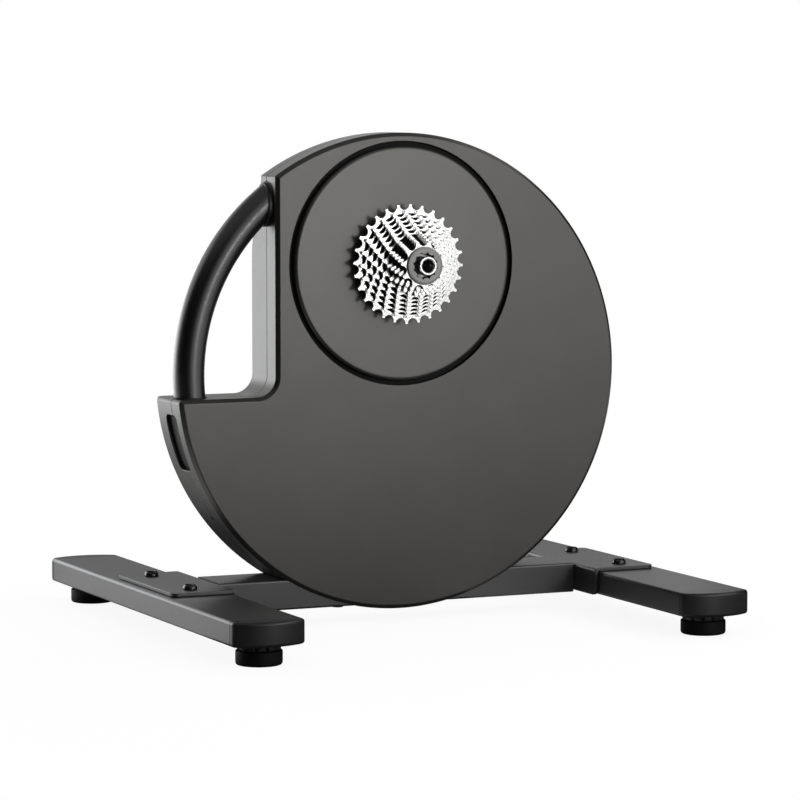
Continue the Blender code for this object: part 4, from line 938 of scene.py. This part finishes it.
cover_radius = 0.1162
cover_edge = 0.0036
cover_bore = 0.0155
cover_skirt = 0.010
cover_paint = grained("cover_paint", (0.123, 0.1205, 0.1165), 0.38, 0.0010, 0.00003, change=0.03,
                      metallic=0.85, specular=0.3)
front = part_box("hub_cover")[0].y - face_y
back = cover_ledge_depth - seam
profile = np.array([(cover_bore, front + 0.0010), (cover_bore + 0.0003, front + 0.0003),
                    (cover_bore + 0.001, front), (cover_bore + 0.002, front),
                    (cover_radius - cover_edge - 0.001, front),
                    *(rounded_edge(cover_edge, 8) * (-1, 1) + (cover_radius, front)),
                    (cover_radius, back), (cover_radius - cover_skirt, back),
                    (cover_radius - cover_skirt, front + shell_wall), (cover_bore, front + shell_wall)])
cover = round_the_hub("hub_lid", profile[:, 0], face_y + profile[:, 1], 200, looped=True)
fit(even_shading(cover), cover_paint, "cover_paint", "frame", "hub_cover")


# Axle and freehub. A hollow steel axle with a bright dropout cap pushed on each end, and the
# freehub body, a splined sleeve that carries the cassette and turns on the axle.

def turned_ring(name, points, cut, segments=96):
    """Ring round the hub's axis, from a closed (radius, place) profile with rounded corners: from a
    point A one cut before the corner C to B one cut after it runs (1-s)^2 A + 2s(1-s) C + s^2 B."""
    points = np.array(points, float)
    before, after = np.roll(points, 1, 0) - points, np.roll(points, -1, 0) - points
    start = points + cut * before / np.linalg.norm(before, axis=1)[:, None]
    end = points + cut * after / np.linalg.norm(after, axis=1)[:, None]
    s = np.linspace(0, 1, 5)[None, :, None]
    curve = (1 - s) ** 2 * start[:, None] + 2 * s * (1 - s) * points[:, None] + s ** 2 * end[:, None]
    return round_the_hub(name, curve[..., 0].ravel(), curve[..., 1].ravel(), segments, looped=True)


axle_bore = 0.00615
axle_radius = 0.0085
cap_radius = 0.0095
cap_face = (0.0071, 0.0088)
cap_bevel = 0.0012
axle_steel = turned_metal("axle_steel", (0.36, 0.36, 0.355), 0.34, hub)
low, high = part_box("axle")
axle = turned_ring("axle_tube", [(axle_bore, low.y), (axle_radius, low.y), (axle_radius, high.y),
                                 (axle_bore, high.y)], 0.0004)
fit(axle, axle_steel, "grey_steel", "frame", "axle")
cap_steel = turned_metal("bright_turned_steel", (0.86, 0.86, 0.86), 0.20, hub, depth=0.000004)
for side, outward in (("drive_side", -1), ("rear", 1)):
    low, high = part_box("end_cap_" + side)
    near, far = (high.y, low.y) if outward < 0 else (low.y, high.y)
    shoulder = far - outward * cap_bevel
    cap = turned_ring("dropout_cap_" + side,
                      [(axle_bore, near), (cap_radius, near), (cap_radius, shoulder), (cap_face[1], far),
                       (cap_face[0], far), (axle_bore, shoulder)], 0.0003)
    fit(cap, cap_steel, "bright_steel", "frame", "end_cap_" + side)

# The sleeve's (radius, place) rows: bore, rear end, flange behind the largest sprocket, splines as
# far as the front end, and the counterbore there.
sleeve_bore = 0.0089
sleeve_rear = 0.0130
sleeve_flange = 0.0185
sleeve_counterbore = 0.0153
counterbore_depth = 0.007
spline_radius = 0.0165
spline_depth = 0.0012
spline_count = 9
sleeve_points = 216
low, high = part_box("freehub_body")
even = np.ones(sleeve_points)
splines = spline_radius - spline_depth * (np.cos(full_turn(sleeve_points) * spline_count) > 0.2)
flange_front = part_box("sprockets_28_25_23")[1].y + 0.0003
sleeve_rows = [(even * sleeve_bore, high.y), (even * sleeve_rear, high.y),
               (even * sleeve_rear, flange_front + 0.0030),
               (even * (sleeve_flange - 0.0004), flange_front + 0.0030),
               (even * sleeve_flange, flange_front + 0.0026), (even * sleeve_flange, flange_front + 0.0004),
               (even * (sleeve_flange - 0.0004), flange_front), (splines, flange_front - 0.0002),
               (splines, low.y), (even * sleeve_counterbore, low.y),
               (even * sleeve_counterbore, low.y + counterbore_depth),
               (even * sleeve_bore, low.y + counterbore_depth)]
freehub = round_the_hub("freehub_sleeve", [r for r, _ in sleeve_rows], [y for _, y in sleeve_rows],
                        sleeve_points, looped=True)
freehub_steel = turned_metal("freehub_steel", (0.30, 0.30, 0.295), 0.36, hub)
fit(freehub, freehub_steel, "grey_steel", "cassette", "freehub_body")


# Cassette. Eleven nickel-plated steel sprockets from 28 to 11 teeth on the splined sleeve, with
# dark spacers between them. The lockring with its twelve notches clamps them from the front.

chain_pitch = 0.0127
seat_rise = 0.0018
seat_radius = 0.0048
seat_turn = 64
tip_half = 0.0014
tip_above = 0.20
shade_above_gaps = 0.0027
tooth_chamfer = 0.00022
chamfer_depth = tooth_chamfer * 0.8
sprocket_thickness = 0.0016
sprocket_pitch = 0.00374
sprocket_bore = 0.0168
first_phase = -2.0
spline_phase = 108.9
riveted_rows = 6
riveted_spacer = 0.0213
loose_spacer = 0.0190
cassette_steel = turned_metal("nickel_plated_steel", (0.94, 0.94, 0.93), 0.19, hub,
                              pitch=0.0006, depth=0.000003)
# Near-black finish that paints shade into the recesses between and inside the cassette's parts.
recess_painted_shade = grained("painted_shade_in_recesses", (0.005, 0.005, 0.005), 0.60, 0.0010, 0.00001, specular=0.15)
spacer_plastic = grained("spacer_black_anodised", (0.030, 0.030, 0.032), 0.35, 0.0008, 0.00001,
                         metallic=0.5)


def pitch_radius(teeth):
    """The chain's pitch / (2 sin(half a tooth's angle))."""
    return chain_pitch / (2 * math.sin(math.pi / teeth))


def toothed_outline(teeth, phase):
    """Outline tooth by tooth. Each gap is an arc round a point a little above the pitch circle, then
    a flank (1-s)^2 A + 2s(1-s) B + s^2 C up to a blunt tip, and the other side mirrors it."""
    turn = np.radians(np.linspace(0, seat_turn, 7))
    seat = np.column_stack([pitch_radius(teeth) + seat_rise - seat_radius * np.cos(turn),
                            seat_radius * np.sin(turn)])
    tip = pitch_radius(teeth) + chain_pitch * tip_above
    half = math.pi / teeth - tip_half / tip
    corner = np.array([tip * math.cos(half), tip * math.sin(half)])
    run = np.linalg.norm(corner - seat[-1])
    knee = seat[-1] + 0.5 * run * np.array([math.sin(turn[-1]), math.cos(turn[-1])])
    s = np.linspace(0, 1, 6)[1:, None]
    flank = (1 - s) ** 2 * seat[-1] + 2 * s * (1 - s) * knee + s ** 2 * corner
    side = np.concatenate([seat, flank])
    gap = np.concatenate([side[:0:-1] * (1, -1), side])
    radius, angle = np.hypot(gap[:, 0], gap[:, 1]), np.arctan2(gap[:, 1], gap[:, 0])
    steps = np.radians(phase) + (np.arange(teeth) + 0.5) * 2 * np.pi / teeth
    angle = (steps[:, None] + angle).ravel()
    return np.tile(radius, teeth)[:, None] * np.column_stack([np.cos(angle), np.sin(angle)])


def drawn_in(outline, inset):
    """Outline moved inwards by an inset, square to the line through each point's neighbours."""
    run = np.roll(outline, -1, 0) - np.roll(outline, 1, 0)
    run /= np.linalg.norm(run, axis=1)[:, None]
    return outline + inset * np.column_stack([-run[:, 1], run[:, 0]])


def sprocket(name, teeth, y, phase, shade_radius):
    """Plate between two depths: chamfered toothed edge, flat faces and a round bore. A ring of
    points at the shade radius parts its bright teeth from the web inside it, which gets painted shade."""
    outline = toothed_outline(teeth, phase)
    small = drawn_in(outline, tooth_chamfer)
    inner = small / np.linalg.norm(small, axis=1)[:, None]
    land = inner * (np.linalg.norm(outline, axis=1).min() - 0.0002)
    web = inner * min(np.linalg.norm(land[0]), shade_radius)
    half = sprocket_thickness / 2
    rows = [(inner * sprocket_bore, -half), (web, -half), (land, -half), (small, -half),
            (outline, chamfer_depth - half), (outline, half - chamfer_depth), (small, half), (land, half),
            (inner * sprocket_bore, half)]
    rings = along_y([row for row, _ in rows], [y + place for _, place in rows], (hub.x, hub.z))
    return skin(name, rings, looped=True)


first_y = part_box("sprockets_28_25_23")[1].y - sprocket_thickness / 2
teeth_rows = (28, 25, 23, 21, 19, 17, 15, 14, 13, 12, 11)
stands_for = {28: ["sprockets_28_25_23"], 21: ["sprockets_21_19_17"], 15: ["sprocket_15"],
              14: ["sprocket_14"], 13: ["sprocket_13"], 12: ["sprocket_12"], 11: ["sprocket_11"]}
for number, (teeth, smaller) in enumerate(zip(teeth_rows, teeth_rows[1:] + teeth_rows[-1:])):
    # The painted shade on the web starts a little above the bottom of the next smaller sprocket's gaps.
    shade_radius = pitch_radius(smaller) + seat_rise - seat_radius + shade_above_gaps
    y = first_y - number * sprocket_pitch
    plate = sprocket("cog_%d" % teeth, teeth, y, first_phase if number == 0 else spline_phase, shade_radius)
    fit(plate, cassette_steel, "bright_steel", "cassette", *stands_for.get(teeth, ()))
    if teeth == smaller:
        break
    # The web's faces inside the shade radius are painted near black: painted shade between the plates.
    paint_shade_on(plate, recess_painted_shade, lambda distance, depth, facing:
                  (distance < shade_radius) & (np.abs(facing) > 0.7))
    outside = riveted_spacer if number < riveted_rows else loose_spacer
    near, far = y - sprocket_thickness / 2, y - sprocket_pitch + sprocket_thickness / 2
    spacer = turned_ring("spacer_%d" % teeth, [(sprocket_bore, near), (outside, near), (outside, far),
                                               (sprocket_bore, far)], 0.0002, 72)
    fit(spacer, spacer_plastic, "black_steel", "cassette")

# The lockring's (radius, place) rows: notched opening, face, rounded flange, threaded sleeve. A
# notch deepens from nothing at 0.17 of a step from its middle to its full depth at 0.12.
lockring_notches = 12
lockring_phase = math.radians(19)
lockring_bore = 0.0118
lockring_notch = 0.0013
lockring_radius = 0.0186
lockring_sleeve = 0.0150
lockring_flange = 0.0023
lockring_points = 288
low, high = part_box("lockring")
step = (full_turn(lockring_points) - lockring_phase) * lockring_notches / (2 * np.pi)
from_notch = np.abs((step + 0.5) % 1 - 0.5)
notched = lockring_bore + lockring_notch * np.clip((0.17 - from_notch) / 0.05, 0, 1)
even = np.ones(lockring_points)
front, back = low.y, low.y + lockring_flange
ring_rows = [(notched + 0.0003, front), (even * (lockring_radius - 0.0018), front),
             (even * (lockring_radius - 0.0015), front + 0.0002),
             (even * (lockring_radius - 0.0006), front + 0.0002),
             (even * (lockring_radius - 0.0002), front + 0.0004), (even * lockring_radius, front + 0.0008),
             (even * lockring_radius, back), (even * lockring_sleeve, back),
             (even * lockring_sleeve, high.y), (notched, high.y), (notched, front + 0.0003)]
lockring = round_the_hub("lockring_shape", [r for r, _ in ring_rows], [y for _, y in ring_rows],
                         lockring_points, looped=True)
lockring_steel = turned_metal("matte_turned_steel", (0.215, 0.2125, 0.2075), 0.42, hub, depth=0.000008)
fit(lockring, lockring_steel, "grey_steel", "cassette", "lockring")
# The notched opening's inner faces are painted near black: painted shade inside the ring.
paint_shade_on(lockring, recess_painted_shade, lambda distance, depth, facing:
              (distance < 0.0135) & (np.abs(facing) < 0.5))


# The studio: pale floor, white surroundings, soft boxes, cards that only gloss shows, and the
# camera where it stood.

floor_reach = 9
floor = mesh_object("floor", [(-floor_reach, -floor_reach, 0), (floor_reach, -floor_reach, 0),
                              (floor_reach, floor_reach, 0), (-floor_reach, floor_reach, 0)], [(0, 1, 2, 3)])
floor.location.z = -0.0002


def seen_directly(tree):
    """1 for camera, mirror and glass rays, and 0 for the rays that carry light."""
    path = tree.nodes.new("ShaderNodeLightPath").outputs
    first = add_node(tree, "Math", {0: path["Is Camera Ray"], 1: path["Is Glossy Ray"]}, operation="MAXIMUM")
    return add_node(tree, "Math", {0: first, 1: path["Is Transmission Ray"]}, operation="MAXIMUM")


def stage_finish(name):
    """Material with nothing in it but its output."""
    material = bpy.data.materials.new(name)
    material.use_nodes = True
    tree = material.node_tree
    tree.nodes.remove(tree.nodes["Principled BSDF"])
    return material, tree, tree.nodes["Material Output"].inputs["Surface"]


# Near the object the floor is matt, for its shadow, with a glow that only direct rays see. It
# fades to plain white further out.
floor_material, tree, floor_surface = stage_finish("pale_floor")
direct = seen_directly(tree)
matt = add_node(tree, "BsdfDiffuse", {"Color": (0.22, 0.22, 0.22, 1)})
dark = add_node(tree, "Emission", {"Strength": 0})
glow = add_node(tree, "Emission", {"Strength": 0.91})
white = add_node(tree, "Emission", {"Strength": 1.0})
seen_glow = add_node(tree, "MixShader", {0: direct, 1: dark, 2: glow})
near = add_node(tree, "AddShader", {0: matt, 1: seen_glow})
far = add_node(tree, "MixShader", {0: direct, 1: matt, 2: white})
from_centre = add_node(tree, "VectorMath", {0: own_place(tree)}, "Value", operation="LENGTH")
fade = add_node(tree, "MapRange", {"Value": from_centre, "From Min": 0.45, "From Max": 1.1}, "Result",
                interpolation_type="SMOOTHSTEP")
tree.links.new(add_node(tree, "MixShader", {0: fade, 1: near, 2: far}), floor_surface)
floor.data.materials.append(floor_material)

world = bpy.data.worlds.new("white_studio")
bpy.context.scene.world = world
world.use_nodes = True
tree = world.node_tree
ambient = tree.nodes["Background"]
ambient.inputs["Color"].default_value = (1, 1, 1, 1)
ambient.inputs["Strength"].default_value = 0.25
backdrop = add_node(tree, "Background", {"Color": (1, 1, 1, 1), "Strength": 1.0})
studio_light = add_node(tree, "MixShader", {0: seen_directly(tree), 1: ambient.outputs[0], 2: backdrop})
tree.links.new(studio_light, tree.nodes["World Output"].inputs["Surface"])


def soft_box(name, azimuth, height, distance, size, power, aim, colour=(1, 1, 1)):
    """Square lamp at an azimuth from the drive side and a height, turned to a point to aim at."""
    lamp = bpy.data.lights.new(name, "AREA")
    lamp.shape = "RECTANGLE"
    lamp.size, lamp.size_y = size
    lamp.energy = power
    lamp.color = colour
    stand = new_object(name, lamp)
    turn = math.radians(azimuth)
    stand.location = (distance * math.sin(turn), -distance * math.cos(turn), height)
    stand.rotation_euler = (Vector(aim) - stand.location).to_track_quat("-Z", "Y").to_euler()
    stand.visible_camera = False


# The front box lights the face, the small key box the sprockets, the rear one the rim and the left
# leg's side, and the top one the tops.
soft_box("front_box", 41, 1.00, 1.60, (1.4, 1.3), 6.0, (0.05, 0, 0.36))
soft_box("key_box", 16, 0.42, 2.4, (0.28, 0.28), 4.1, (0, 0, 0.36))
soft_box("rear_left_box", -150, 0.26, 1.3, (1.2, 0.52), 4.8, (-0.2, 0, 0.2), (0.95, 0.975, 1.0))
soft_box("top_box", 98, 1.60, 1.4, (0.7, 0.7), 1.6, (0, 0, 0.45))


def only_in_reflections(name, points, faces, brightness=0.0):
    """Card that only gloss and mirrors show. It blocks no light, and the camera sees through it."""
    card = mesh_object(name, points, faces)
    card.visible_camera = False
    card.visible_diffuse = False
    card.visible_shadow = False
    material, tree, card_surface = stage_finish(name)
    tree.links.new(add_node(tree, "Emission", {"Strength": brightness}), card_surface)
    card.data.materials.append(material)


screen_distance = 2.7
screen_height = 2.3
screen_steps = 12


def screen(name, start, end, brightness=0.0, bottom=0.0, top=screen_height):
    """Upright screen bent round the object from one azimuth to another."""
    turn = np.radians(np.linspace(start, end, screen_steps + 1))
    foot = screen_distance * np.column_stack([np.sin(turn), -np.cos(turn), np.zeros_like(turn)])
    points = np.concatenate([foot + (0, 0, bottom), foot + (0, 0, top)])
    above = screen_steps + 1
    faces = [(i, i + 1, i + 1 + above, i + above) for i in range(screen_steps)]
    only_in_reflections(name, points, faces, brightness)


# The black paint mirrors these dark and grey cards all round, over and under it, in place of the
# white room.
screen("left_screen", -116, -14)
screen("front_screen", -14, 64, 0.6)
screen("right_screen", 64, 143)
screen("rear_screen_low", 146, 176, top=0.62)
screen("rear_screen_high", 156, 178, 0.15, bottom=0.62, top=0.78)
ceiling = arc((0, 0), screen_distance, 0, 360, 48)[:-1]
only_in_reflections("dark_ceiling", np.insert(ceiling, 2, screen_height, 1), [tuple(range(48))], 0.22)
table = [(-0.40, 1.0), (-0.34, 0.48), (-0.275, 0.34), (-0.275, -0.14), (-0.70, -0.14), (-0.70, 0.25),
         (-2.6, 0.25), (-2.6, -2.6), (-0.9, -2.6), (0.2, -0.80), (1.1, -0.80), (1.1, 1.0)]
only_in_reflections("dark_table", [(x, y, 0.0001) for x, y in table], [tuple(range(len(table)))], 0.05)
strip = [(0.09, 0.0), (0.09, -0.30), (0.19, -0.30), (0.19, 0.0)]
only_in_reflections("pale_strip", [(x, y, 0.0002) for x, y in strip], [(0, 1, 2, 3)], 0.35)

# The camera stands 3.6 m off, 24 degrees to the left of the axle, and looks down by 5 degrees.
camera = new_object("camera", bpy.data.cameras.new("camera"))
camera.location = (-1.482215, -3.288608, 0.524651)
camera.rotation_euler = Vector((0.412328, 0.907009, -0.085566)).to_track_quat("-Z", "Y").to_euler()
camera.data.lens = 162.567
camera.data.shift_y = 0.00505
bpy.context.scene.camera = camera

bpy.context.scene.view_settings.view_transform = "Standard"
